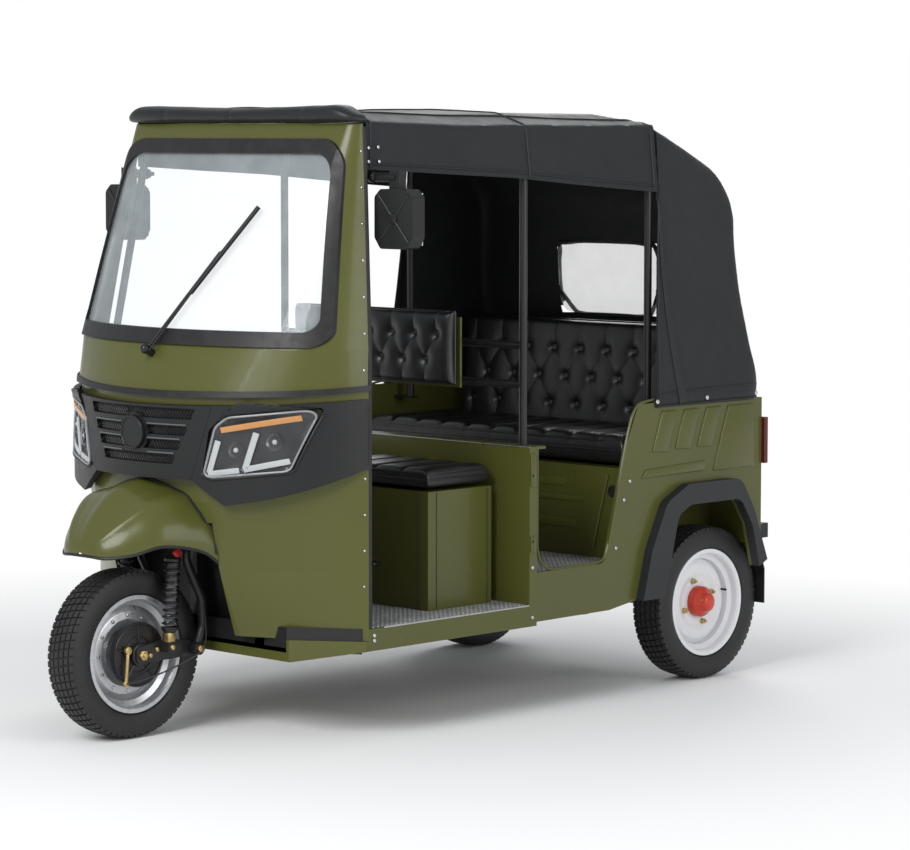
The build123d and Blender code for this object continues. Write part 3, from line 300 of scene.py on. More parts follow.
def seat_vinyl():
    """Upholstery vinyl: leather grain, soft gloss and faint creases."""
    finish = Finish("seat_vinyl", Coat_Weight=0.15, Coat_Roughness=0.3)
    drift = finish.grain(8.0, 3.0)
    finish.set("Base Color", finish.mix(drift, (0.0050, 0.0052, 0.0062), (0.0100, 0.0104, 0.0120)))
    finish.set("Roughness", finish.grain(30.0, 4.0) * 0.18 + 0.30)
    pores = finish.cells(650.0, feature="SMOOTH_F1")
    creases = finish.grain(26.0, 5.0)
    finish.bump(pores * 0.12 + creases * 0.5, 0.0012, 0.4)
    return finish.material


def bare_metal(name, colour, roughness=0.3, metallic=1.0, scratch=0.25):
    """Worked metal with fine marks and uneven shine."""
    finish = Finish(name)
    finish.set("Metallic", metallic)
    marks = finish.grain(60.0, 6.0).between(0.3, 0.8)
    finish.set("Base Color", finish.mix(marks, [c * 0.78 for c in colour], colour))
    finish.set("Roughness", marks * scratch + roughness)
    finish.bump(finish.grain(400.0, 3.0), 0.0002, 0.4)
    return finish.material


def clear_glass(name, tint, alpha=0.16, roughness=0.02):
    """A clear pane that keeps its reflections, with a faint film of dust."""
    finish = Finish(name, Specular_IOR_Level=0.6)
    film = finish.grain(12.0, 5.0).between(0.35, 0.9)
    finish.set("Base Color", finish.mix(film, tint, [min(1.0, c * 1.15) for c in tint]))
    finish.set("Roughness", film * 0.03 + roughness)
    finish.set("Alpha", film * 0.05 + alpha)
    return finish.material


# Length of a raised bar of the floor mats, across their diagonal
MAT_PITCH = 0.019


def chequer_plate(name, colour):
    """Floor mat with raised crossed bars, painted pale along the bars as a painted highlight."""
    finish = Finish(name)
    across, along, _ = finish.axes(finish.place())
    u = (across + along) / MAT_PITCH
    v = (across - along) / MAT_PITCH

    def bar(short, long):
        slim = ((short % 1.0) - 0.5).math("ABSOLUTE").between(0.20, 0.12)
        return slim * ((long % 1.0) - 0.5).math("ABSOLUTE").between(0.46, 0.38)

    side = ((u.math("FLOOR") + v.math("FLOOR")) % 2.0) > 0.5
    bars = bar(u, v) * side + bar(v, u) * (1.0 - side)
    wear_and_sheen = finish.grain(16.0, 5.0)
    # The raised bars and scattered specks are painted pale: a painted highlight on the bars, made uneven by
    # the wear noise
    painted_highlight = (bars * 0.7 + finish.cells(160.0) * 0.5) * (wear_and_sheen + 0.35)
    finish.set("Base Color", finish.mix(painted_highlight, colour, (0.78, 0.79, 0.80)))
    finish.set("Metallic", 0.35)
    finish.set("Roughness", wear_and_sheen * 0.25 + 0.33)
    finish.bump(bars, 0.0016, 0.9)
    return finish.material


def make_materials():
    """Every finish of the tricycle, by name."""
    colours = settings().colours
    return {
        "olive": paint("olive_paint", colours.paint),
        "black_paint": paint("black_paint", (0.012, 0.012, 0.013), 0.38, 0.2),
        "hub_paint": paint("hub_paint", colours.hub, 0.32, 0.3),
        "rim_paint": paint("rim_paint", (0.72, 0.73, 0.75), 0.3, 0.3),
        "silver_paint": bare_metal("silver_paint", (0.62, 0.63, 0.65), 0.26, 0.75, 0.2),
        "plastic": grained_plastic("black_plastic", (0.0095, 0.0100, 0.0108)),
        "flare_plastic": grained_plastic("flare_plastic", (0.0135, 0.0148, 0.0168), 0.42, 520.0, 0.0004),
        "gloss_plastic": grained_plastic("gloss_plastic", (0.012, 0.012, 0.013), 0.2, 900.0, 0.0001),
        "rubber": rubber("black_rubber"),
        "tyre": tyre_rubber(),
        "canopy": canopy_cloth(),
        "vinyl": seat_vinyl(),
        "canopy_trim": rubber("canopy_trim", (0.0075, 0.0080, 0.0088), 0.5),
        "visor_vinyl": grained_plastic("visor_vinyl", (0.0095, 0.0100, 0.0110), 0.42, 300.0, 0.0005),
        "steel": bare_metal("bright_steel", (0.66, 0.66, 0.67), 0.24),
        "zinc": bare_metal("zinc_plate", (0.56, 0.55, 0.50), 0.34),
        "brass": bare_metal("yellow_zinc", (0.62, 0.46, 0.20), 0.32),
        "cast": bare_metal("cast_metal", (0.20, 0.20, 0.21), 0.5, 0.8),
        "red_paint": paint("red_paint", (0.50, 0.02, 0.02), 0.3, 0.3),
        "glass": clear_glass("screen_glass", (0.72, 0.80, 0.84)),
        "lens": clear_glass("lamp_lens", (0.30, 0.32, 0.33), 0.03),
        "pane": clear_glass("window_film", (0.86, 0.88, 0.88), 0.22, 0.06),
        "red_lens": grained_plastic("red_lens", (0.075, 0.006, 0.007), 0.14, 300.0, 0.0004),
        "guide": grained_plastic("light_guide", (0.46, 0.48, 0.49), 0.25, 500.0, 0.0001),
        "amber": grained_plastic("amber_lens", colours.amber, 0.2, 300.0, 0.0004),
        "lamp_dark": grained_plastic("lamp_housing", (0.012, 0.012, 0.013), 0.20, 300.0, 0.0002),
        "dish": bare_metal("lamp_dish", (0.16, 0.165, 0.17), 0.12, 1.0, 0.1),
        # Pale grey for the clear lens's thick edge: a painted highlight
        "rim_highlight": grained_plastic("lens_rim", (0.24, 0.25, 0.26), 0.18, 500.0, 0.0001),
        "chrome": bare_metal("chrome", (0.80, 0.81, 0.82), 0.06, 1.0, 0.08),
        # Grey for the lower edges of the black grille's slats: a painted highlight
        "slat_edge": grained_plastic("slat_edge", (0.10, 0.105, 0.11), 0.32, 900.0, 0.0001),
        "bellows": rubber("bellows_rubber", (0.10, 0.10, 0.105), 0.5),
        "mat": chequer_plate("chequer_mat", (0.11, 0.115, 0.115)),
    }


# Every finish by name, filled by the finishes operator
MATERIALS = {}

# The finish of each node that keeps its own shape
NODE_FINISH = {
    "olive": (
        "lower_nose_panel", "upper_front_panel", "front_beam", "front_fender", "driver_floor",
        "passenger_floor", "partition", "tub_side_left", "tub_side_right", "tail_panel", "wheel_housings",
        "seat_box", "backrest_plate", "seat_base",
    ),
    "black_paint": (
        "chassis_frame", "canopy_frame", "rear_axle", "leaf_springs", "steering_fork", "leading_arms",
        "handlebar", "front_axle",
    ),
    "plastic": ("front_grille", "lamp_bezels", "wheel_well_liner", "dashboard", "mirrors", "wiper"),
    "flare_plastic": ("arch_flares",),
    "rubber": ("windscreen_seal", "belt_strip", "mud_flaps", "rear_buffers"),
    "glass": ("windscreen_glass",),
    "pane": ("rear_window",),
    "lens": ("headlamps",),
    "red_lens": ("tail_lamps",),
    "cast": ("engine_block",),
    "silver_paint": ("front_rim",),
    "rim_paint": ("rear_rim_left", "rear_rim_right"),
    "canopy": ("canopy_roof", "canopy_rear", "roof_visor"),
    "vinyl": ("driver_cushion", "driver_backrest", "bench_cushion", "bench_backrest"),
    "tyre": ("front_tyre", "rear_tyre_left", "rear_tyre_right"),
    "zinc": ("shock_absorbers",),
}


# Shape helpers


def deselect():
    """Nothing is selected, so the next operator acts on what is picked."""
    bpy.ops.object.select_all(action="DESELECT")


def pick(piece):
    """Only this piece is selected and active."""
    deselect()
    piece.select_set(True)
    bpy.context.view_layer.objects.active = piece


def settle(piece):
    """The piece's place goes into its mesh."""
    pick(piece)
    bpy.ops.object.transform_apply(location=True, rotation=True, scale=True)
    return piece


def apply_modifier(piece, kind, **options):
    """Adds a modifier, sets it and applies it."""
    pick(piece)
    modifier = piece.modifiers.new(kind, kind)
    for key, value in options.items():
        setattr(modifier, key, value)
    bpy.ops.object.modifier_apply(modifier=modifier.name)
    return piece


def round_edges(piece, width, segments=2, angle=40.0):
    """Rounds the edges that are sharper than an angle."""
    return apply_modifier(
        piece, "BEVEL", width=width, segments=segments, limit_method="ANGLE", angle_limit=math.radians(angle)
    )


def thicken(piece, thickness, offset=0.0):
    """Gives a skin its thickness: to both sides, or inwards with offset -1."""
    return apply_modifier(piece, "SOLIDIFY", thickness=thickness, offset=offset)


def soften(piece, angle=40.0):
    """Smooth shading, with edges over an angle kept crisp."""
    pick(piece)
    bpy.ops.object.shade_smooth_by_angle(angle=math.radians(angle))
    return piece


def done(piece, finish, body=BODY, replaces=(), angle=40.0):
    """Gives a finished piece its shading, its material and the body that carries it."""
    piece.data.materials.clear()
    piece.data.materials.append(MATERIALS[finish])
    soften(piece, angle)
    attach(piece, body)
    if replaces:
        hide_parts(*replaces)
    return piece


def fitted(name, parts, finish, body=BODY, mirror=True, angle=40.0):
    """Joins parts, with their mirror images, into one finished piece."""
    return done(joined(name, twins(parts) if mirror else parts), finish, body, angle=angle)


def new_piece(name, axis=None):
    """The piece that an operator has just made, named, and turned from Z to an axis."""
    piece = bpy.context.object
    piece.name = name
    if axis is not None:
        piece.rotation_mode = "QUATERNION"
        piece.rotation_quaternion = Vector((0, 0, 1)).rotation_difference(Vector(axis))
    return settle(piece)


def add_block(name, low, high, edge=0.002, segments=2):
    """A block between two corners, with rounded edges."""
    deselect()
    low, high = Vector(low), Vector(high)
    bpy.ops.mesh.primitive_cube_add(size=1.0, location=(low + high) / 2, scale=high - low)
    piece = new_piece(name)
    return round_edges(piece, edge, segments) if edge else piece


def add_disc(name, centre, axis, radius, depth, edge=0.002, sides=48):
    """A round plate or bar about an axis, with rounded edges."""
    deselect()
    bpy.ops.mesh.primitive_cylinder_add(vertices=sides, radius=radius, depth=depth, location=centre)
    piece = new_piece(name, axis)
    return round_edges(piece, edge, 2, 50.0) if edge else piece


def add_bar(name, start, end, radius, edge=0.0, sides=24):
    """A round bar between two points."""
    start, end = Vector(start), Vector(end)
    return add_disc(name, (start + end) / 2, end - start, radius, (end - start).length, edge, sides)


def add_curves(name, lines, radius, kind, closed=False, roundness=0):
    """Bars of one radius along lines of points, straight (POLY) or smooth (NURBS)."""
    deselect()
    bpy.ops.curve.primitive_nurbs_path_add(location=(0, 0, 0))
    piece = bpy.context.object
    piece.name = name
    data = piece.data
    data.splines.clear()
    for line in lines:
        spline = data.splines.new(kind)
        spline.points.add(len(line) - 1)
        for point, place in zip(spline.points, line):
            point.co = (*place, 1.0)
        if kind == "NURBS":
            spline.use_cyclic_u = closed
            spline.use_endpoint_u = not closed
            spline.order_u = 3
            spline.resolution_u = 8
    data.dimensions = "3D"
    data.bevel_depth = radius
    data.bevel_resolution = roundness
    data.use_fill_caps = True
    bpy.ops.object.convert(target="MESH")
    return bpy.context.object


def add_tube(name, points, radius, closed=False, sides=8):
    """A bent tube along a smooth line through guide points."""
    return add_curves(name, [points], radius, "NURBS", closed, sides // 4)


def add_skin(name, columns, rows, place):
    """A sheet whose points come from place(u, v), with u and v from 0 to 1."""
    deselect()
    bpy.ops.mesh.primitive_grid_add(x_subdivisions=columns, y_subdivisions=rows, size=2.0, location=(0, 0, 0))
    piece = bpy.context.object
    piece.name = name
    for vertex in piece.data.vertices:
        vertex.co = place((vertex.co.x + 1) / 2, (vertex.co.y + 1) / 2)
    return piece


def weld(piece, distance=0.00001):
    """Merges doubled points and turns the faces outwards."""
    pick(piece)
    bpy.ops.object.mode_set(mode="EDIT")
    bpy.ops.mesh.select_all(action="SELECT")
    bpy.ops.mesh.remove_doubles(threshold=distance)
    bpy.ops.mesh.normals_make_consistent(inside=False)
    bpy.ops.object.mode_set(mode="OBJECT")
    return piece


def copied(piece, name, matrix):
    """A copy with its own mesh, moved, turned or mirrored by a matrix."""
    twin = piece.copy()
    twin.data = piece.data.copy()
    twin.name = name
    bpy.context.collection.objects.link(twin)
    twin.data.transform(matrix)
    if matrix.determinant() < 0:
        twin.data.flip_normals()
    return twin


def joined(name, parts):
    """Several pieces made one."""
    deselect()
    for part in parts:
        part.select_set(True)
    bpy.context.view_layer.objects.active = parts[0]
    bpy.ops.object.join()
    piece = bpy.context.object
    piece.name = name
    return piece


MIRROR_X = Matrix.Scale(-1.0, 4, (1.0, 0.0, 0.0))


# Tyres

# Half of a tyre's cross-section from the bead to the shoulder: shares of the half width and of the radius
TYRE_PROFILE = (
    (0.750, 0.664), (0.765, 0.700), (0.900, 0.722), (0.975, 0.770), (1.000, 0.820), (0.992, 0.872),
    (0.960, 0.922), (0.915, 0.948),
)
# The middles of the grooves round the tread, as shares of the half width
RING_GROOVES = (0.0, 0.34, 0.66)


def tread_columns(groove_share):
    """Places across the tread, with two close points at each wall of a groove, and whether they are cut."""
    columns = []
    wall = 0.012
    for middle in RING_GROOVES:
        for side in (-1, 1):
            at = middle + side * groove_share
            if at < 0:
                continue
            columns.append((at - side * wall, True))
            columns.append((at, False))
    columns.append((0.88, False))
    columns.sort()
    return columns


def make_tyre(name, hub, body, node):
    """A radial tyre whose blocks are cut by ring grooves and by slanted cross cuts."""
    sizes = settings().tyres
    groove_share = sizes.groove / 2 / TYRE_HALF
    tread = tread_columns(groove_share)
    # A row's mark: 0 on the sidewall, 1 on the tread, 2 in a groove
    half = [(x, r * TYRE_RADIUS, 0) for x, r in TYRE_PROFILE]
    for share, cut in sorted(tread, reverse=True):
        half.append((share, TYRE_RADIUS * (1.0 - 0.030 * share**2), 2 if cut else 1))
    profile = half + [(-x, r, mark) for x, r, mark in reversed(half) if x > 0]
    # Each pitch has a block and a cut: (share of the pitch, is it in the cut)
    steps = ((0.0, False), (0.72, False), (0.76, True), (0.96, True))
    columns = sizes.pitches * len(steps)
    rows = len(profile) - 1

    def place(u, v):
        column = round(u * columns)
        share_x, radius, mark = profile[round(v * rows)]
        share, in_cut = steps[column % len(steps)]
        pitch = column // len(steps) + share
        slant = 0.55 * abs(share_x) if abs(share_x) < 0.9 else 0.5
        angle = 2 * math.pi * (pitch + slant * math.copysign(1.0, share_x)) / sizes.pitches
        drop = (0.0, 0.8 if in_cut else 0.0, 1.0)[mark] * sizes.depth
        reach = radius - drop
        return hub + Vector((share_x * TYRE_HALF, reach * math.sin(angle), reach * math.cos(angle)))

    return done(weld(add_skin(name, columns, rows, place)), "tyre", body, [node], 35.0)


class TRICYCLE_OT_tyres(bpy.types.Operator):
    """Makes the three treaded tyres."""

    bl_idname = "tricycle.tyres"
    bl_label = "Tyres"

    def execute(self, context):
        make_tyre("tread_front", FRONT_HUB, "front_wheel", "front_tyre")
        make_tyre("tread_rear_left", LEFT_HUB, "rear_wheel_left", "rear_tyre_left")
        make_tyre("tread_rear_right", RIGHT_HUB, "rear_wheel_right", "rear_tyre_right")
        return {"FINISHED"}


# Places on the CAD surfaces

# Search trees that are already built, by name
TREES = {}


def faces_tree(mesh):
    """A search tree over a mesh's faces."""
    return BVHTree.FromPolygons([v.co for v in mesh.vertices], [p.vertices for p in mesh.polygons])


def tree(node):
    """A search tree over one CAD node's faces."""
    if node not in TREES:
        TREES[node] = faces_tree(NODES[node].data)
    return TREES[node]


def cast(node, origin, direction, lift=0.0):
    """Where a line first meets a node, or the nearest point of it, moved out by lift."""
    origin, direction = Vector(origin), Vector(direction).normalized()
    place, normal, _, _ = tree(node).ray_cast(origin, direction)
    if place is None:
        place, normal, _, _ = tree(node).find_nearest(origin + direction * SPAN)
        normal = -direction
    return place - direction * lift if normal.dot(direction) > -0.2 else place + normal * lift


def on_front(node, x, z, lift=0.0):
    """The point of a node that shows from straight ahead at x, z."""
    return cast(node, (x, -SPAN, z), BACKWARDS, lift)


def bulge(value, power):
    """A power that keeps the sign: under 1 it squares a circle."""
    return math.copysign(abs(value) ** power, value)


def squared_ring(count, half_across, half_up, power):
    """Places round a square with soft corners: (across, up)."""
    turns = [math.tau * i / count for i in range(count)]
    return [(bulge(math.cos(t), power) * half_across, bulge(math.sin(t), power) * half_up) for t in turns]


def grown(u):
    """A place from -1 to 1 for a share from 0 to 1, with more points near the ends."""
    flat = 2 * u - 1
    return 0.35 * flat + 0.65 * math.sin(math.pi / 2 * flat)


def flow(place, scale, seed=0.0):
    """Soft repeatable unevenness between about -1 and 1."""
    return noise.noise(Vector(place) * scale + Vector((seed, seed * 1.7, seed * 0.3)))


# Canopy

CANOPY_THICKNESS = 0.003
# The roof's ends, the height its search lines run to, its hem as (y, z) at both ends, and its three bows
ROOF_Y = (-0.5045, 0.7385)
ROOF_EYE = 1.45
ROOF_HEM = ((-0.546, 1.668), (0.724, 1.588))
BOWS = (-0.50, 0.145, 0.735)
# The rear's search lines run to this point. Its hem turns from door edge to door edge round the back, and its
# roof seam is an arc over the top, both in degrees: (start, sweep)
REAR_EYE = Vector((0.0, 0.80, 1.20))
BEHIND = REAR_EYE.y + SPAN
HEM_TURN = (-6.2, 192.4)
SEAM_TURN = (33.5, 113.0)
HEM_HALF, HEM_MIDDLE, HEM_DEPTH, HEM_Z = 0.60, 0.75, 0.79, 0.9065
SEAM_HALF, SEAM_Y, SEAM_RISE = 0.66, 0.7415, 0.62
# How far the cloth rounds the solid's corners, as shares across and up
ROUNDING = (0.010, 0.024)
WINDOW_HALF = 0.222
WINDOW_Z = (1.161, 1.402)
STUD_Z = 0.926


def roof_point(u, v, lift=0.0):
    """The roof cloth: u runs from the left hem over the crown to the right hem, v from front to rear."""
    y = ROOF_Y[0] + (ROOF_Y[1] - ROOF_Y[0]) * v
    (y0, z0), (y1, z1) = ROOF_HEM
    hem = z0 + (z1 - z0) * (y - y0) / (y1 - y0)
    start = math.atan2(hem - ROOF_EYE, 0.50 + 0.065 * v)
    angle = start + (math.pi - 2 * start) * u
    out = Vector((math.cos(angle), 0.0, math.sin(angle)))
    place = cast("canopy_roof", Vector((0, y, ROOF_EYE)) + out * SPAN, -out)
    front, back = (BOWS[0], BOWS[1]) if y < BOWS[1] else (BOWS[1], BOWS[2])
    slack = math.sin(math.pi * min(1.0, max(0.0, (y - front) / (back - front))))
    top = max(0.0, out.z) ** 2
    sag = -0.009 * slack * top - 0.0025 * slack * (1 - top) * (1 + flow(place, 9.0))
    drape = 0.0018 * flow(place, 6.0, 3.0)
    return place + out * (sag + drape + lift - 0.001)


def rear_edges(u):
    """The hem's place round the back, and the roof seam's place over the top, at the same share."""
    turn = math.radians(HEM_TURN[0]) + math.radians(HEM_TURN[1]) * u
    low = Vector((math.cos(turn), math.sin(turn), 0.0))
    low *= HEM_HALF / max(abs(low.x), abs(low.y) / HEM_DEPTH)
    rise = math.radians(SEAM_TURN[0]) + math.radians(SEAM_TURN[1]) * u
    high = Vector((SEAM_HALF * math.cos(rise), SEAM_Y, REAR_EYE.z + SEAM_RISE * math.sin(rise)))
    return Vector((low.x, HEM_MIDDLE + low.y, HEM_Z)), high


def rear_raw(u, v):
    """Where the rear canopy's solid lies at (u, v), before the cloth rounds its corners."""
    low, high = rear_edges(u)
    aim = low.lerp(high, v)
    out = (aim - REAR_EYE).normalized()
    place = tree("canopy_rear").ray_cast(REAR_EYE + out * SPAN, -out, SPAN - 0.15)[0]
    if place is None:
        if out.y > 0.6 and abs(out.x) < 0.65:
            # The line passes the window's hole: it ends on the plane of the wall beside it
            start = (WINDOW_HALF + 0.03, BEHIND, REAR_EYE.z + out.z * 0.37)
            beside = cast("canopy_rear", start, -BACKWARDS)
            place = REAR_EYE + out * (beside.y - REAR_EYE.y) / out.y
        else:
            place = tree("canopy_rear").find_nearest(aim)[0]
    return place


def rear_point(u, v, lift=0.0):
    """The rear cloth: u runs round the back from the left door edge to the right, v from hem to roof seam."""
    reach_u, reach_v = min(ROUNDING[0], u, 1 - u), min(ROUNDING[1], v, 1 - v)
    spots = [(u + i * reach_u, v + j * reach_v) for i in (-1, 0, 1) for j in (-1, 0, 1)]
    place = sum((rear_raw(*spot) for spot in spots), Vector()) / len(spots)
    out = (place - REAR_EYE).normalized()
    inside = min(1.0, 9 * u, 9 * (1 - u)) * min(1.0, 7 * v, 7 * (1 - v))
    puff = 0.0050 * flow(place, 3.4, 1.0) + 0.0010 * flow((place.x, place.y, place.z * 0.35), 11.0, 5.0)
    taut = 0.0014 * math.sin(place.z * 21.0 + place.y * 6.0) * flow(place, 3.0, 9.0)
    return place + out * ((puff + taut) * inside + lift - 0.002)


def surface_tube(name, point, path, radius, lift):
    """A seam or piping that follows a surface along (u, v) places."""
    return add_tube(name, [point(u, v, lift) for u, v in path], radius)


def surface_strip(name, point, start, finish, half, lift, thickness):
    """A flat band laid on a surface, between two (u, v) places."""

    def place(a, b):
        u = start[0] + (finish[0] - start[0]) * a
        v = start[1] + (finish[1] - start[1]) * a
        return point(u + (b - 0.5) * 2 * half, v, lift)

    return thicken(weld(add_skin(name, 60, 4, place)), thickness)


def run(start, finish, count=40):
    """Evenly spaced places between two (u, v) places."""
    return [
        (start[0] + (finish[0] - start[0]) * i / count, start[1] + (finish[1] - start[1]) * i / count)
        for i in range(count + 1)
    ]


def make_roof_cloth():
    """The sheet over the top, with its flaps at both sides."""
    roof = thicken(weld(add_skin("roof_cloth", 150, 110, roof_point)), CANOPY_THICKNESS, -1.0)
    return done(roof, "canopy", BODY, ["canopy_roof"], 60.0)


def make_rear_cloth():
    """The sheet round the back, with the window cut out."""
    rear = weld(add_skin("rear_cloth", 170, 96, rear_point))
    pick(rear)
    bpy.ops.object.mode_set(mode="EDIT")
    bpy.ops.mesh.select_all(action="DESELECT")
    bpy.ops.object.mode_set(mode="OBJECT")
    for face in rear.data.polygons:
        centre = face.center
        face.select = (
            abs(centre.x) < WINDOW_HALF and WINDOW_Z[0] < centre.z < WINDOW_Z[1] and centre.y > REAR_EYE.y
        )
    bpy.ops.object.mode_set(mode="EDIT")
    bpy.ops.mesh.delete(type="FACE")
    bpy.ops.object.mode_set(mode="OBJECT")
    done(thicken(rear, CANOPY_THICKNESS, -1.0), "canopy", BODY, ["canopy_rear"], 60.0)
    TREES["rear_cloth"] = faces_tree(rear.data)
    return rear


def make_roof_seams():
    """The roof cloth's seams: along its edges, then across its bows."""
    on_roof = []
    for side in (0, 1):
        for share, lift in ((0.012, 0.001), (0.150, 0.0015)):
            u = share if side == 0 else 1 - share
            path = run((u, 0.005), (u, 0.995))
            on_roof.append(surface_tube(f"p{side}{share}", roof_point, path, 0.003, lift))
    for v in (0.012, 0.521, 0.985):
        path = run((0.004, v), (0.996, v), 70)
        on_roof.append(surface_tube(f"q{v}", roof_point, path, 0.0028, 0.0015))
    return fitted("roof_seams", on_roof, "canopy_trim", mirror=False)


def make_rear_seams():
    """The rear cloth's seams: (height, radius) round the back, then (foot, head) beside the doors."""
    on_rear = []
    for v, radius in ((0.075, 0.0022), (0.012, 0.0034)):
        path = run((0.002, v), (0.998, v), 90)
        on_rear.append(surface_tube(f"h{v}", rear_point, path, radius, 0.001))
    for foot, head in ((0.006, 0.006), (0.056, 0.022), (0.072, 0.036)):
        for low, high in ((foot, head), (1 - foot, 1 - head)):
            path = run((low, 0.01), (high, 0.985), 50)
            on_rear.append(surface_tube(f"e{low}", rear_point, path, 0.0028, 0.0012))
    path = run((0.004, 0.985), (0.996, 0.985), 60)
    on_rear.append(surface_tube("t", rear_point, path, 0.0032, 0.0015))
    return fitted("rear_seams", on_rear, "canopy_trim", mirror=False)


def make_rear_bands():
    """The flat bands beside the doors."""
    bands = [
        surface_strip(f"b{low}", rear_point, (low, 0.02), (high, 0.975), 0.0075, 0.0026, 0.002)
        for low, high in ((0.064, 0.029), (0.936, 0.971))
    ]
    return fitted("rear_bands", bands, "canopy_trim", mirror=False, angle=60.0)


def make_window_binding():
    """The binding round the rear window."""
    corners = [
        cast("canopy_rear", (x, BEHIND, z + sum(WINDOW_Z) / 2), -BACKWARDS, 0.002)
        for x, z in squared_ring(48, WINDOW_HALF + 0.004, 0.126, 0.42)
    ]
    return done(add_tube("window_binding", corners, 0.0075, closed=True, sides=12), "canopy_trim")


def make_hem_studs():
    """The studs along the rear cloth's hem."""
    spots = [
        (cast("rear_cloth", (side * SPAN, y, STUD_Z), -side * LEFTWARDS, 0.001), side * LEFTWARDS)
        for side in (1, -1) for y in (0.686, 0.931, 1.192)
    ]
    spots += [
        (cast("rear_cloth", (x, BEHIND, STUD_Z), -BACKWARDS, 0.001), BACKWARDS)
        for x in (-0.45, -0.15, 0.15, 0.45)
    ]
    studs = [add_disc(f"s{i}", at, out, 0.0075, 0.005, 0.0015, 16) for i, (at, out) in enumerate(spots)]
    return fitted("hem_studs", studs, "steel", mirror=False)


class TRICYCLE_OT_canopy(bpy.types.Operator):
    """Makes the canopy's two cloth sheets with their seams, bands, window binding and studs."""

    bl_idname = "tricycle.canopy"
    bl_label = "Canopy"

    def execute(self, context):
        roof, rear = make_roof_cloth(), make_rear_cloth()
        seams, rear_seams, bands = make_roof_seams(), make_rear_seams(), make_rear_bands()
        binding, studs = make_window_binding(), make_hem_studs()
        return {"FINISHED"}


# Cushions

# How deep a pad's back is, as a share of its face
FLAT_BACK = 0.9
# The bench's backrest leans: the middle of its lower and of its upper edge, and half its width
BENCH_FOOT = Vector((0.0, 1.005, 0.730))
BENCH_HEAD = Vector((0.0, 1.050, 1.146))
BENCH_HALF = 0.536


def segment_distance(point, start, finish):
    """Distance from a point to a short straight crease, in the pad's own plane."""
    ax, ay = start
    bx, by = finish
    dx, dy = bx - ax, by - ay
    length = dx * dx + dy * dy or 1e-9
    share = min(1.0, max(0.0, ((point[0] - ax) * dx + (point[1] - ay) * dy) / length))
    return math.hypot(point[0] - ax - share * dx, point[1] - ay - share * dy)


def add_pad(name, centre, along, up, half, grid, relief, power):
    """A closed pad that lies across along and up, with its relief on the face that looks out."""
    centre, along, up = Vector(centre), Vector(along).normalized(), Vector(up).normalized()
    out = along.cross(up)
    half_a, half_b, half_n = half

    def face(sign):
        def place(u, v):
            a, b = grown(u), grown(v)
            swell = (max(0.0, 1 - abs(a) ** power[0]) * max(0.0, 1 - abs(b) ** power[1])) ** 0.34
            pull = 1 - 0.012 * (1 - b * b) * abs(a) ** 6
            x, y = a * half_a * pull, b * half_b * (1 - 0.012 * (1 - a * a) * abs(b) ** 6)
            depth = swell * half_n
            if sign > 0:
                depth += relief(x, y) * swell
            else:
                depth = -depth * FLAT_BACK
            return centre + along * x + up * y + out * depth

        return add_skin(name + ("_face" if sign > 0 else "_back"), *grid, place)

    piece = weld(joined(name, [face(1), face(-1)]), 0.00005)
    done(piece, "vinyl", angle=70.0)
    around = run((0, 0), (1, 0), 24) + run((1, 0), (1, 1), 12)
    around += run((1, 1), (0, 1), 24) + run((0, 1), (0, 0), 12)
    edge = [
        centre + along * grown(u) * half_a * 0.996 + up * grown(v) * half_b * 0.996 for u, v in around[:-1]
    ]
    done(add_tube(name + "_piping", edge, 0.0035, closed=True), "vinyl")
    return piece


def tufts(rows, depth, reach):
    """A relief with a button at each place of the rows and creases to its neighbours."""
    buttons = [[(x, y) for x in xs] for y, xs in rows]
    creases = []
    for upper, lower in zip(buttons, buttons[1:]):
        for button in upper:
            for other in lower:
                if abs(button[0] - other[0]) < reach:
                    creases.append((button, other))
    for row, edge in ((buttons[0], 1), (buttons[-1], -1)):
        for x, y in row:
            creases.append(((x, y), (x, y + edge * 0.3)))

    def relief(x, y):
        value = 0.010
        near = min(segment_distance((x, y), *crease) for crease in creases)
        value -= depth * 0.14 * math.exp(-((near / 0.0045) ** 2)) + 0.0022 * math.exp(-((near / 0.022) ** 2))
        closest = min(math.hypot(x - bx, y - by) for row in buttons for bx, by in row)
        pit = 0.62 * math.exp(-((closest / 0.011) ** 2)) + 0.5 * math.exp(-((closest / 0.026) ** 2))
        return value - depth * pit

    return buttons, relief


def add_buttons(name, buttons, centre, along, up, height):
    """Covered buttons on a pad's face."""
    centre, along, up = Vector(centre), Vector(along).normalized(), Vector(up).normalized()
    out = along.cross(up)
    parts = []
    for row in buttons:
        for x, y in row:
            at = centre + along * x + up * y + out * height
            parts.append(add_disc(f"{name}{x}{y}", at, out, 0.0105, 0.008, 0.003, 20))
    return done(joined(name, parts), "vinyl", angle=50.0)


def pleats(count, half_a, depth):
    """A relief of soft channels that run from front to rear."""

    def relief(x, y):
        phase = (x / half_a + 1) / 2 * count
        near = abs(phase - round(phase)) * 2 * half_a / count
        return 0.004 - depth * math.exp(-((near / 0.0055) ** 2)) - 0.004 * math.exp(-((near / 0.022) ** 2))

    return relief


def make_cushions():
    """The two pleated cushions, each with a sewn edge."""
    for name, node, count in (("driver_seat", "driver_cushion", 8), ("bench_seat", "bench_cushion", 10)):
        low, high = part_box(node)
        reach = (high - low) / 2
        room = Vector((reach.x - 0.004, reach.y - 0.003, reach.z - 0.004))
        middle = (low + high) / 2
        channels = pleats(count, reach.x, 0.009)
        pad = add_pad(name, middle, (1, 0, 0), (0, 1, 0), room, (150, 48), channels, (44.0, 15.0))
        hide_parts(node)
        # The sewn box edge a little below the top
        rim = [
            middle + Vector((x, y, room.z * 0.62))
            for x, y in squared_ring(72, room.x - 0.003, room.y - 0.003, 0.16)
        ]
        done(add_tube(name + "_welt", rim, 0.0032, closed=True), "vinyl")


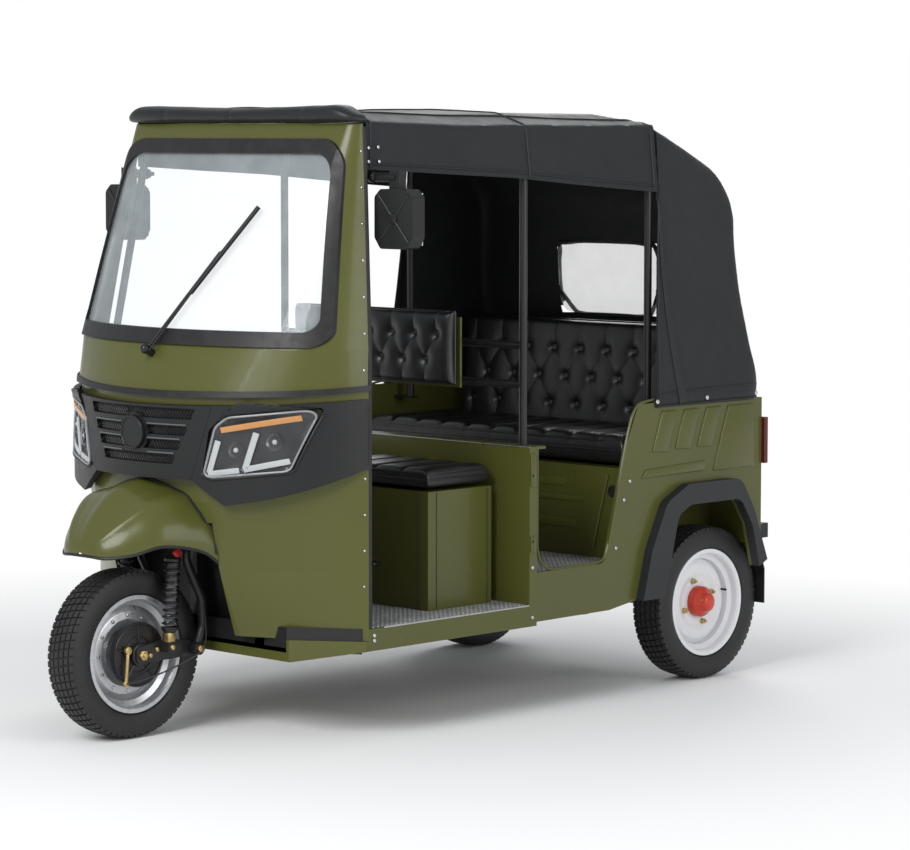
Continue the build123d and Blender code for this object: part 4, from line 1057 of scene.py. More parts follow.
def make_driver_back():
    """The driver's tufted backrest."""
    low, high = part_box("driver_backrest")
    reach = (high - low) / 2
    rows = (
        (0.040, [(i - 3.0) * 0.096 for i in range(7)]),
        (-0.040, [(i - 2.5) * 0.096 for i in range(6)]),
    )
    buttons, relief = tufts(rows, 0.012, 0.07)
    room = (reach.x - 0.002, reach.z - 0.002, reach.y - 0.008)
    middle = (low + high) / 2 + Vector((0, 0.004, 0))
    pad = add_pad("driver_back", middle, (1, 0, 0), (0, 0, 1), room, (170, 64), relief, (30.0, 12.0))
    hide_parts("driver_backrest")
    add_buttons("driver_buttons", buttons, middle, (1, 0, 0), (0, 0, 1), room[2] - 0.006)


def make_bench_back():
    """The bench's tufted backrest."""
    up = (BENCH_HEAD - BENCH_FOOT).normalized()
    wide = [(i - 4.0) * 0.119 for i in range(9)]
    narrow = [(i - 3.5) * 0.119 for i in range(8)]
    buttons, relief = tufts(((0.112, wide), (0.018, narrow), (-0.076, wide)), 0.013, 0.08)
    room = (BENCH_HALF, (BENCH_HEAD - BENCH_FOOT).length / 2, 0.036)
    middle = (BENCH_FOOT + BENCH_HEAD) / 2
    pad = add_pad("bench_back", middle, (1, 0, 0), up, room, (230, 96), relief, (40.0, 18.0))
    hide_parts("bench_backrest")
    add_buttons("bench_buttons", buttons, middle, (1, 0, 0), up, room[2] - 0.006)


class TRICYCLE_OT_seats(bpy.types.Operator):
    """Makes the pleated cushions and the tufted backrests."""

    bl_idname = "tricycle.seats"
    bl_label = "Seats"

    def execute(self, context):
        make_cushions()
        make_driver_back()
        make_bench_back()
        return {"FINISHED"}


# Visor

# Half its length, its underside's height, its rear edge, and places on the solid to measure it at
VISOR_ENDS = 0.510
VISOR_FLOOR = 1.8005
VISOR_BACK = -0.507
VISOR_PROBE_Y, VISOR_PROBE_Z = -0.545, 1.808


class TRICYCLE_OT_visor(bpy.types.Operator):
    """Makes the padded visor over the windscreen."""

    bl_idname = "tricycle.visor"
    bl_label = "Visor"

    def execute(self, context):
        def place(u, v):
            x = -VISOR_ENDS + 2 * VISOR_ENDS * u
            angle = math.pi * (1.5 - v)
            front = on_front("roof_visor", x, VISOR_PROBE_Z).y
            top = cast("roof_visor", (x, VISOR_PROBE_Y, SPAN * 2), (0, 0, -1)).z
            middle_z, half_z = (VISOR_FLOOR + top) / 2, (top - VISOR_FLOOR) / 2
            # A seam in the middle and one at each side
            seam = 0.0045 * math.exp(-((x / 0.006) ** 2)) + 0.003 * math.exp(-(((abs(x) - 0.30) / 0.01) ** 2))
            puff = (1 - abs(2 * u - 1) ** 14) ** 0.5
            y = VISOR_BACK - (VISOR_BACK - front) * abs(math.cos(angle)) ** 0.55 * puff + seam
            z = middle_z + half_z * bulge(math.sin(angle), 0.7) * (0.25 + 0.75 * puff)
            return Vector((x, y, z + 0.0015 * flow((x, y, z), 14.0)))

        pad = add_skin("visor_pad", 120, 20, place)
        pick(pad)
        bpy.ops.object.mode_set(mode="EDIT")
        bpy.ops.mesh.select_all(action="SELECT")
        bpy.ops.mesh.remove_doubles(threshold=0.00002)
        bpy.ops.mesh.select_all(action="DESELECT")
        bpy.ops.mesh.select_non_manifold()
        bpy.ops.mesh.edge_face_add()
        bpy.ops.mesh.select_all(action="SELECT")
        bpy.ops.mesh.normals_make_consistent(inside=False)
        bpy.ops.object.mode_set(mode="OBJECT")
        done(pad, "visor_vinyl", BODY, ["roof_visor"], 70.0)
        return {"FINISHED"}


def add_plate(name, points, thickness, edge=0.002, segments=2):
    """A flat plate through its corner points, half its thickness to each side."""
    deselect()
    bpy.ops.mesh.primitive_circle_add(vertices=len(points), fill_type="NGON")
    piece = bpy.context.object
    piece.name = name
    for vertex, place in zip(piece.data.vertices, points):
        vertex.co = place
    settle(piece)
    thicken(piece, thickness)
    weld(piece)
    return round_edges(piece, edge, segments) if edge else piece


def add_ball(name, centre, radius, sides=24):
    """A round ball."""
    deselect()
    bpy.ops.mesh.primitive_uv_sphere_add(
        segments=sides, ring_count=sides // 2, radius=radius, location=centre
    )
    return new_piece(name)


def add_ring(name, centre, axis, radius, thickness):
    """A round ring about an axis."""
    deselect()
    bpy.ops.mesh.primitive_torus_add(
        location=centre, major_radius=radius, minor_radius=thickness, major_segments=48, minor_segments=10
    )
    return new_piece(name, axis)


def add_turned(name, axis_points, radii, sides=40):
    """A round body about a straight axis, from places along it and their radii."""
    start, finish = (Vector(p) for p in axis_points)
    axis = (finish - start).normalized()
    side = axis.orthogonal().normalized()
    other = axis.cross(side)

    def place(u, v):
        share, radius = radii[round(v * (len(radii) - 1))]
        turn = math.tau * u
        return start.lerp(finish, share) + (side * math.cos(turn) + other * math.sin(turn)) * radius

    return weld(add_skin(name, sides, len(radii) - 1, place))


def twins(parts):
    """The parts and their mirror images."""
    return parts + [copied(part, part.name + "_r", MIRROR_X) for part in parts]


def bolts(name, places, radius, height=0.004):
    """Round steel bolt heads on both sides: (place, the way they face)."""
    parts = [
        add_disc(f"{name}{i}", at, out, radius, height, 0.0015, 12) for i, (at, out) in enumerate(places)
    ]
    return fitted(name, parts, "steel")


# Headlamps: outline and inner parts in the front view (x, z)

LAMP_CORNERS = ((0.244, 0.772), (0.486, 0.800), (0.549, 0.985), (0.322, 0.958), (0.285, 0.928))
# The brow over the lamp: its lower and upper edges, from inside to outside
BROW_LOW = ((0.268, 0.915), (0.283, 0.932), (0.320, 0.961), (0.430, 0.975), (0.551, 0.988))
BROW_HIGH = ((0.264, 0.918), (0.300, 0.958), (0.345, 1.006), (0.450, 1.000), (0.553, 0.992))
LAMP_CENTRE = (0.395, 0.878)
# Bars inside the lamp: name, finish, start, end, half width, depth behind the lens
LAMP_BARS = (
    ("guide_inner", "guide", (0.294, 0.886), (0.266, 0.792), 0.0085, 0.009),
    ("guide_inner_foot", "guide", (0.262, 0.788), (0.352, 0.802), 0.0085, 0.009),
    ("guide_outer", "guide", (0.399, 0.912), (0.368, 0.806), 0.0085, 0.009),
    ("guide_outer_foot", "guide", (0.364, 0.804), (0.480, 0.832), 0.0085, 0.009),
    ("turn_strip", "amber", (0.303, 0.917), (0.506, 0.957), 0.0085, 0.008),
)
# Bowls inside the lamp: x, z, radius; and their shape: share of the depth, share of the radius
LAMP_BOWLS = ((0.340, 0.860, 0.024), (0.442, 0.886, 0.026))
BOWL_SHAPE = ((0.0, 1.0), (0.35, 0.86), (0.7, 0.6), (1.0, 0.25))


def lamp_edge(turn, share):
    """A place at a share of the way from the lamp's middle to its softened outline."""
    reach = sum(lamp_reach(turn + 0.045 * (i - 2)) for i in range(5)) / 5
    return Vector(LAMP_CENTRE) + Vector((math.cos(turn), math.sin(turn))) * reach * share


def lamp_reach(turn):
    """Distance from the lamp's middle to its straight-sided outline."""
    ray = Vector((math.cos(turn), math.sin(turn)))
    middle = Vector(LAMP_CENTRE)
    best = 1.0
    for i, corner in enumerate(LAMP_CORNERS):
        a, b = Vector(LAMP_CORNERS[i - 1]) - middle, Vector(corner) - middle
        edge = b - a
        cross = ray.x * edge.y - ray.y * edge.x
        if abs(cross) < 1e-9:
            continue
        reach = (a.x * edge.y - a.y * edge.x) / cross
        along = (a.x * ray.y - a.y * ray.x) / cross
        if reach > 0 and -1e-6 <= along <= 1 + 1e-6:
            best = min(best, reach)
    return best


def along(points, share):
    """A place at a share of the way along a line of points."""
    place = min(share * (len(points) - 1), len(points) - 1 - 1e-6)
    i = int(place)
    return Vector(points[i]).lerp(Vector(points[i + 1]), place - i)


def lamp_skin(name, finish, depth):
    """A shell over the lamp's outline, set behind the lens by depth(share)."""

    def place(u, v):
        at = lamp_edge(math.tau * u, v * 0.985)
        return on_front("headlamps", at.x, at.y) + Vector((-0.25, 0.97, 0)) * depth(v)

    piece = weld(add_skin(name, 96, 10, place))
    return done(thicken(joined(name, twins([piece])), 0.002), finish)


def lamp_ring(node, share, lift=0.0):
    """Places round a lamp on a node's front, at a share of the outline."""
    spots = [lamp_edge(math.tau * i / 120, share) for i in range(120)]
    return [on_front(node, at.x, at.y, lift) for at in spots]


def front_strip(name, node, start, finish, half, depth, thickness):
    """A flat bar that follows a node's front, depth behind it."""
    start, finish = Vector(start), Vector(finish)
    side = (finish - start).orthogonal().normalized() * half

    def place(u, v):
        at = start.lerp(finish, u) + side * (2 * v - 1)
        return on_front(node, at.x, at.y) + Vector((0, depth, 0))

    return thicken(weld(add_skin(name, 24, 2, place)), thickness)


def make_lamp_shells():
    """The lenses, the housings behind them and the bars inside."""
    lens = lamp_skin("lamp_lenses", "lens", lambda share: 0.0)
    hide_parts("headlamps")
    lamp_skin("lamp_housings", "lamp_dark", lambda share: 0.019 - 0.014 * max(0.0, share - 0.8) / 0.2)
    for name, finish, start, end, half, depth in LAMP_BARS:
        bar = front_strip(name, "headlamps", start, end, half, depth, 0.005)
        fitted(name, [round_edges(bar, 0.0015)], finish)


def make_lamp_bowls():
    """The reflecting bowls with their rims and bulbs."""
    rims, bulbs, dishes = [], [], []
    out = Vector((0.55, -0.83, 0)).normalized()
    for x, z, radius in LAMP_BOWLS:
        at = on_front("headlamps", x, z) + Vector((0, 0.013, 0))
        dish = [(share, radius * width) for share, width in BOWL_SHAPE] + [(1.0, 0.001)]
        dishes.append(add_turned(f"dish{x}", (at, at - out * 0.012), dish, 36))
        rims.append(add_ring(f"rim{x}", at, out, radius, 0.0014))
        bulbs.append(add_ball(f"bulb{x}", at - out * 0.004, 0.0075))
    fitted("lamp_dishes", dishes, "dish")
    fitted("lamp_rims", rims, "gloss_plastic")
    fitted("lamp_bulbs", bulbs, "guide")


def make_lamp_brows():
    """The brow over each lamp."""
    def brow_place(u, v):
        at = along(BROW_LOW, u).lerp(along(BROW_HIGH, u), v)
        return on_front("headlamps", at.x, at.y) + Vector((0.0005, -0.0022 + 0.006 * (1 - v) ** 4, 0))

    fitted("lamp_brows", [thicken(weld(add_skin("brow", 60, 12, brow_place)), 0.003)], "plastic")


def make_lamp_rims():
    """The lens's rim, painted pale grey as a painted highlight on the clear lens's thick edge, and the
    bezel's lip.
    """
    rim = [at + Vector((0, 0.003, 0)) for at in lamp_ring("headlamps", 0.955)]
    # The lens rim's pale grey is a painted highlight on the clear lens's edge
    fitted("lens_rims", [add_tube("lens_rim", rim, 0.0032, closed=True)], "rim_highlight")
    outline = lamp_ring("lamp_bezels", 1.022, 0.0015)
    # A place that misses the bezel's face would make a spike
    smooth = [place for i, place in enumerate(outline) if (place - outline[i - 1]).length < 0.05]
    fitted("lamp_lips", [add_tube("lamp_lips", smooth, 0.0042, closed=True)], "plastic")


class TRICYCLE_OT_lamps(bpy.types.Operator):
    """Makes the headlamps' lenses, housings, light guides and bulbs."""

    bl_idname = "tricycle.lamps"
    bl_label = "Lamps"

    def execute(self, context):
        make_lamp_shells()
        make_lamp_bowls()
        make_lamp_brows()
        make_lamp_rims()
        return {"FINISHED"}


# Grille: the mesh in its four slots

# Each slot's lower and upper edge, and half the slots' width at two heights
SLOT_ROWS = ((0.812, 0.840), (0.854, 0.882), (0.896, 0.924), (0.944, 0.976))
SLOT_WIDTHS = ((0.812, 0.147), (0.976, 0.232))
MESH_PITCH = 0.011
EMBLEM = Vector((0.0, -0.9745, 0.899))
EMBLEM_ROOM = 0.056


def slot_half(z):
    """Half the width of the mesh at a height."""
    (z0, w0), (z1, w1) = SLOT_WIDTHS
    return w0 + (w1 - w0) * (z - z0) / (z1 - z0) - 0.002


class TRICYCLE_OT_grille(bpy.types.Operator):
    """Makes the grille's mesh and the lower edges of its slats, painted grey as a painted highlight."""

    bl_idname = "tricycle.grille"
    bl_label = "Grille"

    def execute(self, context):
        lines = []
        for low, high in SLOT_ROWS:
            half = slot_half((low + high) / 2)
            height = high - low
            count = int(2 * half / MESH_PITCH)
            for i in range(count):
                for lean in (-1, 1):
                    x = -half + i * MESH_PITCH
                    far = x + height * 0.55 * lean
                    over_emblem = min(abs(x), abs(far)) < EMBLEM_ROOM and 0.845 < high and low < 0.94
                    if max(abs(x), abs(far)) > half or over_emblem:
                        continue
                    ends = ((x, low + 0.002), (far, high - 0.002))
                    lines.append([on_front("front_grille", *end) + Vector((0, -0.003, 0)) for end in ends])
        # A wire that would cross a step of the grille is left out
        lines = [line for line in lines if abs(line[0].y - line[1].y) < 0.02]
        done(add_curves("grille_mesh", lines, 0.0012, "POLY"), "rubber")
        # Tubes along the slats' lower edges, painted grey as a painted highlight
        edges = []
        for _, low in SLOT_ROWS[:-1]:
            for side in (1, -1):
                wide = slot_half(low) - 0.004 - EMBLEM_ROOM
                xs = [side * (EMBLEM_ROOM + wide * i / 15) for i in range(16)]
                points = [on_front("front_grille", x, low + 0.004) + Vector((0, -0.001, 0)) for x in xs]
                edges.append(add_tube(f"edge{low}{side}", points, 0.0024))
        fitted("slat_edges", edges, "slat_edge", mirror=False)
        done(add_ring("emblem_ring", EMBLEM, BACKWARDS, 0.046, 0.003), "gloss_plastic")
        return {"FINISHED"}


# Wheels, brakes and front suspension

# The left shock absorber's ends
SHOCK_FOOT = Vector((0.104, -0.926, 0.282))
SHOCK_HEAD = Vector((0.104, -0.905, 0.574))
# A rear hub's shape: (share of its depth, radius)
HUB_SHAPE = (
    (0.0, 0.0382), (0.0, 0.050), (0.34, 0.050), (0.44, 0.047), (0.55, 0.037), (0.70, 0.031), (0.86, 0.028),
    (0.96, 0.021), (1.0, 0.010), (1.0, 0.0005),
)
# The spring's seats: (share of the shock's length, radius)
SPRING_CUP = ((0.095, 0.006), (0.095, 0.017), (0.13, 0.0245), (0.155, 0.026), (0.155, 0.006))
SPRING_CAP = (
    (0.815, 0.006), (0.815, 0.026), (0.84, 0.0265), (0.87, 0.017), (0.96, 0.0135), (1.0, 0.0135),
    (1.0, 0.002),
)
BRAKE_CABLE = (
    (0.084, -1.071, 0.172), (0.090, -1.02, 0.176), (0.100, -0.93, 0.196), (0.118, -0.85, 0.226),
    (0.122, -0.80, 0.250), (0.120, -0.79, 0.30), (0.117, -0.80, 0.38),
)


def on_wheel(centre, radius, angle, out=0.0):
    """A place on a wheel's side: at a radius and an angle about its axle, and out along it."""
    return centre + Vector((out, radius * math.cos(angle), radius * math.sin(angle)))


def folds(count, start, length, first, second):
    """A ribbed profile for add_turned: (share, radius), with the two radii taking turns."""
    return [(start + length * i / (2 * count), second if i % 2 else first) for i in range(2 * count + 1)]


def make_rear_hubs():
    """Each rear wheel's hub, nuts and valve."""
    for side, hub, body in ((1, LEFT_HUB, "rear_wheel_left"), (-1, RIGHT_HUB, "rear_wheel_right")):
        out = side * LEFTWARDS
        tag = "left" if side > 0 else "right"
        face = hub + out * 0.0315
        plate = add_turned("hub_plate_" + tag, (face - out * 0.020, face + out * 0.038), HUB_SHAPE)
        done(plate, "hub_paint", body)
        nuts = []
        for i in range(4):
            at = on_wheel(hub, 0.072, math.radians(20 + 90 * i), 0.015 * side)
            nuts.append(add_disc(f"nut{i}{tag}", at, out, 0.0095, 0.012, 0.0012, 6))
            nuts.append(add_disc(f"stud{i}{tag}", at + out * 0.006, out, 0.0048, 0.018, 0.001, 12))
        fitted("wheel_nuts_" + tag, nuts, "brass", body, mirror=False)
        valve = hub + Vector((0, 0.118, 0.028))
        stem = add_bar("valve_" + tag, valve + out * 0.010, valve + out * 0.036, 0.0038, 0.001, 12)
        done(stem, "rubber", body)


def make_front_rivets():
    """The rivets on both sides of the front rim."""
    rivets = []
    for i in range(12):
        for side, out in ((1, 0.0165), (-1, 0.004)):
            at = on_wheel(FRONT_HUB, 0.112, math.tau * i / 12, out)
            rivets.append(add_disc(f"rivet{i}{side}", at, side * LEFTWARDS, 0.0055, 0.006, 0.0015, 12))
    fitted("front_rivets", rivets, "steel", "front_wheel", mirror=False)


class TRICYCLE_OT_wheels(bpy.types.Operator):
    """Makes the wheels' hubs, nuts, rivets and valves."""

    bl_idname = "tricycle.wheels"
    bl_label = "Wheels"

    def execute(self, context):
        make_rear_hubs()
        make_front_rivets()
        return {"FINISHED"}


def make_shocks():
    """The bellows, coil springs, spring seats and ends of the shock absorbers."""
    shock = (SHOCK_FOOT, SHOCK_HEAD)
    axis = (SHOCK_HEAD - SHOCK_FOOT).normalized()
    length = (SHOCK_HEAD - SHOCK_FOOT).length
    shape = [(0.17, 0.004), *folds(15, 0.17, 0.62, 0.0185, 0.0135), (0.79, 0.004)]
    both = fitted("shock_bellows", [add_turned("bellows", shock, shape, 28)], "bellows", STEERING)
    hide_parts("shock_absorbers")
    side = axis.orthogonal().normalized()
    other = axis.cross(side)
    turns, steps = 10, 24
    coil = []
    for i in range(turns * steps + 1):
        turn = math.tau * i / steps
        at = SHOCK_FOOT + axis * length * (0.155 + 0.66 * i / (turns * steps))
        coil.append(at + (side * math.cos(turn) + other * math.sin(turn)) * 0.0215)
    fitted("coil_springs", [add_tube("spring", coil, 0.0034)], "gloss_plastic", STEERING)
    cups = [add_turned("cup", shock, SPRING_CUP), add_turned("cap", shock, SPRING_CAP)]
    fitted("spring_cups", cups, "black_paint", STEERING)
    low = SHOCK_FOOT - Vector((0.015, 0.014, 0.0))
    clevis = add_block("clevis", low, low + Vector((0.030, 0.028, 0.030)), 0.004)
    pin = add_bar("clevis_pin", (0.086, -0.926, 0.268), (0.126, -0.926, 0.268), 0.0085, 0.002, 6)
    fitted("shock_clevises", [clevis, pin], "brass", STEERING)
    mount = add_bar("mount", (0.102, -0.9055, 0.545), (0.126, -0.9055, 0.545), 0.013, 0.003, 24)
    fitted("shock_mounts", [mount], "red_paint", STEERING)


def make_front_brake():
    """The brake plate's ribs, its lever and its rod."""
    out = LEFTWARDS
    plate = Vector((0.067, FRONT_HUB.y, FRONT_HUB.z))
    ribs = [
        add_ring("plate_rim", plate, out, 0.092, 0.0035),
        add_ring("plate_step", plate, out, 0.052, 0.003),
        add_disc("plate_boss", plate + out * 0.004, out, 0.034, 0.016, 0.003),
    ]
    for i in range(5):
        turn = math.radians(20 + 72 * i)
        ends = on_wheel(plate, 0.036, turn), on_wheel(plate, 0.088, turn)
        ribs.append(add_bar(f"plate_rib{i}", *ends, 0.0035, 0.0, 8))
    fitted("brake_ribs", ribs, "black_paint", STEERING, mirror=False)
    lever = [
        add_bar("lever", (0.079, -1.062, 0.268), (0.079, -1.071, 0.172), 0.0055, 0.001, 10),
        add_disc("lever_eye", (0.078, -1.062, 0.268), out, 0.012, 0.012, 0.002, 24),
        add_disc("lever_end", (0.078, -1.071, 0.172), out, 0.009, 0.010, 0.002, 20),
    ]
    fitted("brake_lever", lever, "brass", STEERING, mirror=False)
    done(add_tube("brake_rod", BRAKE_CABLE, 0.0026), "black_paint", STEERING)


def make_arm_nuts():
    """Axle nut, axle end, the two nuts of each arm and the head of its pivot."""
    nuts = (
        ((0.0885, FRONT_HUB.y, FRONT_HUB.z), 0.016, 0.012, 0.002, 6),
        ((0.095, FRONT_HUB.y, FRONT_HUB.z), 0.008, 0.012, 0.001, 16),
        ((0.0885, -0.984, 0.247), 0.0075, 0.008, 0.0012, 6),
        ((0.0885, -0.958, 0.262), 0.0075, 0.008, 0.0012, 6),
        ((0.118, -0.812, 0.252), 0.0125, 0.010, 0.002, 6),
    )
    nuts = [add_disc(f"arm_nut{i}", at, LEFTWARDS, *shape) for i, (at, *shape) in enumerate(nuts)]
    fitted("arm_nuts", nuts, "brass", STEERING)


class TRICYCLE_OT_suspension(bpy.types.Operator):
    """Makes the front brake, the coil springs with their bellows, and the bolts of the arms."""

    bl_idname = "tricycle.suspension"
    bl_label = "Suspension"

    def execute(self, context):
        make_shocks()
        make_front_brake()
        make_arm_nuts()
        return {"FINISHED"}


# Front fender

# (Y, half width, edge height, crown height), from the nose to the tip
FENDER_SECTIONS = (
    (-0.835, 0.240, 0.512, 0.764), (-0.900, 0.226, 0.560, 0.758), (-1.020, 0.198, 0.584, 0.736),
    (-1.100, 0.152, 0.562, 0.678), (-1.155, 0.096, 0.552, 0.618), (-1.176, 0.046, 0.556, 0.580),
)
# Where the three flutes run, in degrees over the fender from its left edge
FLUTES = (48.0, 90.0, 132.0)
FLUTE_HEIGHT = 0.0115
FENDER_THICKNESS = 0.005


def between_sections(share):
    """A smooth section of the fender at a share of its length."""
    count = len(FENDER_SECTIONS) - 1
    place = min(share * count, count - 1e-6)
    i = int(place)
    t = place - i
    p0, p1, p2, p3 = (Vector(FENDER_SECTIONS[min(max(k, 0), count)]) for k in range(i - 1, i + 3))
    square = (2 * p0 - 5 * p1 + 4 * p2 - p3) * t * t
    cube = (3 * p1 - p0 - 3 * p2 + p3) * t**3
    return 0.5 * (2 * p1 + (p2 - p0) * t + square + cube)


def fender_point(u, v):
    """The fender's outer surface: u runs over it from the left edge, v from the nose to the tip."""
    tip = max(0.0, (v - 0.94) / 0.06)
    y, half, edge, crown = between_sections(v)
    turn = math.pi * u
    c, s = math.cos(turn), math.sin(turn)
    close = math.sqrt(max(0.0, 1 - tip * tip))
    x = half * bulge(c, 0.92) * (0.25 + 0.75 * close)
    z = edge + (crown - edge) * s**0.86 * (0.35 + 0.65 * close)
    flute = sum(math.exp(-(((turn - math.radians(at)) / 0.15) ** 2)) for at in FLUTES)
    lift = FLUTE_HEIGHT * flute * math.sin(math.pi * min(1.0, v * 1.05)) ** 0.8
    return Vector((x + lift * c, y, z + lift * s - 0.004))


class TRICYCLE_OT_fender(bpy.types.Operator):
    """Makes the fluted front fender with its rubber edge and the piping at the nose."""

    bl_idname = "tricycle.fender"
    bl_label = "Fender"

    def execute(self, context):
        skin = thicken(weld(add_skin("fender_skin", 90, 70, fender_point)), FENDER_THICKNESS, -1.0)
        done(skin, "olive", BODY, ["front_fender"], 60.0)
        TREES["fender"] = faces_tree(skin.data)
        edge = [fender_point(0.0, i / 40) for i in range(3, 41)]
        edge += [fender_point(1.0, 1 - i / 40) for i in range(0, 38)]
        done(add_tube("fender_edge", edge, 0.0045), "rubber")
        piping = []
        for i in range(45):
            turn = math.radians(2 + 176 * i / 44)
            out = Vector((math.cos(turn), 0, math.sin(turn)))
            y = -0.88
            # The place on the fender and the place on the nose are found in turn, until they meet
            for _ in range(5):
                at = cast("fender", Vector((0, y, 0.54)) + out * 0.6, -out)
                y = max(-0.93, min(-0.856, on_front("lower_nose_panel", at.x, at.z + 0.003).y - 0.002))
            piping.append(at + out * 0.002)
        done(add_tube("fender_piping", piping, 0.0042), "rubber")
        return {"FINISHED"}


# Body trim

# Raised panels of the tub's side, as (y, z) corners
TUB_PANELS = (
    ((0.718, 0.894), (0.672, 0.766), (0.742, 0.764), (0.789, 0.894)),
    ((0.828, 0.894), (0.782, 0.769), (0.855, 0.767), (0.902, 0.894)),
    ((0.938, 0.894), (0.891, 0.770), (0.962, 0.767), (1.010, 0.894)),
    ((1.046, 0.894), (0.973, 0.686), (1.180, 0.689), (1.180, 0.894)),
    ((0.640, 0.713), (0.618, 0.686), (0.924, 0.690), (0.932, 0.724)),
)
# The rolled edge round the rear doorway: (y, z)
DOORWAY_EDGE = (
    (0.1375, 0.812), (0.1375, 0.62), (0.1375, 0.4375), (0.30, 0.4375), (0.425, 0.4375), (0.452, 0.452),
    (0.478, 0.52), (0.512, 0.66), (0.544, 0.79), (0.570, 0.872), (0.594, 0.915), (0.622, 0.9285),
    (0.680, 0.9325),
)
# Bolt heads on the body's side: (y, z)
SIDE_BOLTS = (
    (0.112, 0.733), (0.112, 0.531), (0.112, 0.451), (0.112, 0.298), (-0.568, 0.315), (-0.568, 0.300),
    (0.563, 0.683), (0.535, 0.626), (0.498, 0.477),
)
# Floor mats: (x from, to), (y from, to), height of the floor
MATS = (
    ((-0.587, 0.587), (-0.575, -0.214), 0.335),
    ((-0.587, -0.474), (-0.214, 0.098), 0.335),
    ((0.474, 0.587), (-0.214, 0.098), 0.335),
    ((-0.474, 0.474), (0.068, 0.098), 0.335),
    ((-0.586, 0.586), (0.135, 0.543), 0.430),
)


SCREW_COUNT = 13
FLAP_BOLTS = ((-0.498, 1.730), (-0.498, 1.690), (-0.462, 1.732), (-0.458, 1.690))
# The bead on the front post's edge
POST_EDGE = (
    (0.5965, -0.5830, 1.02), (0.5950, -0.5810, 1.06), (0.5880, -0.5740, 1.15), (0.5660, -0.5575, 1.30),
    (0.5440, -0.5410, 1.45), (0.5220, -0.5245, 1.60), (0.5000, -0.5070, 1.76), (0.4965, -0.5040, 1.79),
)
POST_FOOT = [(0.5965, -0.5835, z) for z in (0.34, 0.5, 0.7, 0.9, 1.02)]
# The middle of the left mirror's back, and the wiper blade's ends
MIRROR_BACK = Vector((0.602, -0.4895, 1.525))
BLADE_LOW = Vector((0.104, -0.834, 1.304))
BLADE_HIGH = Vector((0.253, -0.698, 1.557))
# Raised ribs of the seat base: lower edge, upper edge, half width
BASE_RIBS = ((0.651, 0.677, 0.343), (0.606, 0.622, 0.425), (0.522, 0.549, 0.400))
# Seams of the driver's seat box: (x, y)
BOX_SEAMS = ((0.4722, -0.176), (0.430, -0.2122), (0.4722, 0.046))
# The plates under the nose, from the middle plane outwards: (x, y); their black is a painted shade of the gap
# above the front beam
NOSE_SHADE_PLATES = ((0.0, -0.7335), (0.404, -0.7335), (0.586, -0.604))
# The handlebar's left grip
GRIP_INNER = Vector((0.212, -0.6495, 1.0562))
GRIP_OUTER = Vector((0.3305, -0.602, 1.0624))


def make_tub_panels():
    """The raised panels of the tub's sides."""
    panels = []
    for i, corners in enumerate(TUB_PANELS):
        panels.append(add_plate(f"panel{i}", [(0.6005, y, z) for y, z in corners], 0.010, 0.0042, 3))
    fitted("tub_panels", panels, "olive")


def make_doorway_trim():
    """The doorways' edges, bolts and plates."""
    edge = [(0.5965, y, z) for y, z in DOORWAY_EDGE]
    fitted("doorway_edges", [add_tube("doorway", edge, 0.0042)], "olive")
    sill = [(0.5985, y, 0.3355) for y in (-0.527, -0.2, 0.098)]
    fitted("sill_edges", [add_tube("sill", sill, 0.0030)], "steel")
    done(add_bar("partition_edge", (-0.598, 0.1015, 0.8195), (0.598, 0.1015, 0.8195), 0.0026), "steel")
    bolts("side_bolts", [((0.6015, y, z), LEFTWARDS) for y, z in SIDE_BOLTS], 0.0058)
    plates = [
        add_block(f"door_plate{low}", (0.600, 0.103, low), (0.6035, 0.126, high), 0.0015)
        for low, high in ((0.700, 0.800), (0.498, 0.548))
    ]
    fitted("door_plates", plates, "olive")


def make_floor_mats():
    """The chequered mats on the floors."""
    for i, ((x0, x1), (y0, y1), z) in enumerate(MATS):
        mat = add_block(f"floor_mat{i}", (x0, y0, z + 0.0003), (x1, y1, z + 0.0028), 0.001)
        done(mat, "mat")


def make_post_trim():
    """The front posts' screws and beads, and the bolts of the canopy's flap."""
    screws = []
    for i in range(SCREW_COUNT):
        z = 0.46 + 1.26 * i / (SCREW_COUNT - 1)
        node = "lower_nose_panel" if z < 1.0 else "upper_front_panel"
        lean = 0.083 * max(0.0, (z - 1.1) / 0.7)
        screws.append((cast(node, (SPAN, -0.598 + lean, z), -LEFTWARDS, 0.001), LEFTWARDS))
    bolts("post_screws", screws, 0.0042, 0.003)
    beads = [add_tube("upper_bead", POST_EDGE, 0.0075), add_tube("lower_bead", POST_FOOT, 0.0075)]
    fitted("post_beads", beads, "rubber")
    spots = [(cast("canopy_roof", (SPAN, y, z), -LEFTWARDS, 0.002), LEFTWARDS) for y, z in FLAP_BOLTS]
    bolts("flap_bolts", spots, 0.0052)


def make_mirror_trim():
    """The ribs on the mirrors' backs, their knobs and their faces."""
    ribs = []
    for lean in (1, -1):
        reach = Vector((lean * 0.062, 0.0, 0.070))
        ribs.append(add_bar(f"rib{lean}", MIRROR_BACK - reach, MIRROR_BACK + reach, 0.0045, 0.0, 10))
    ribs.append(add_disc("rib_boss", MIRROR_BACK, BACKWARDS, 0.016, 0.012, 0.003))
    ribs.append(add_ball("mirror_knob", (0.502, -0.476, 1.645), 0.017))
    fitted("mirror_ribs", ribs, "gloss_plastic")
    face = add_block("mirror_face", (0.532, -0.4405, 1.448), (0.672, -0.4385, 1.600), 0.0008)
    fitted("mirror_faces", [face], "chrome")


def make_wiper_trim():
    """The wiper's blade, second arm and nut."""
    blade = [
        add_bar("blade_back", BLADE_LOW, BLADE_HIGH, 0.003),
        add_bar("arm_twin", (0.014, -0.918, 1.136), (0.165, -0.770, 1.420), 0.0028),
        add_ball("wiper_nut", (0.0, -0.921, 1.141), 0.015),
    ]
    fitted("wiper_details", blade, "gloss_plastic", mirror=False)


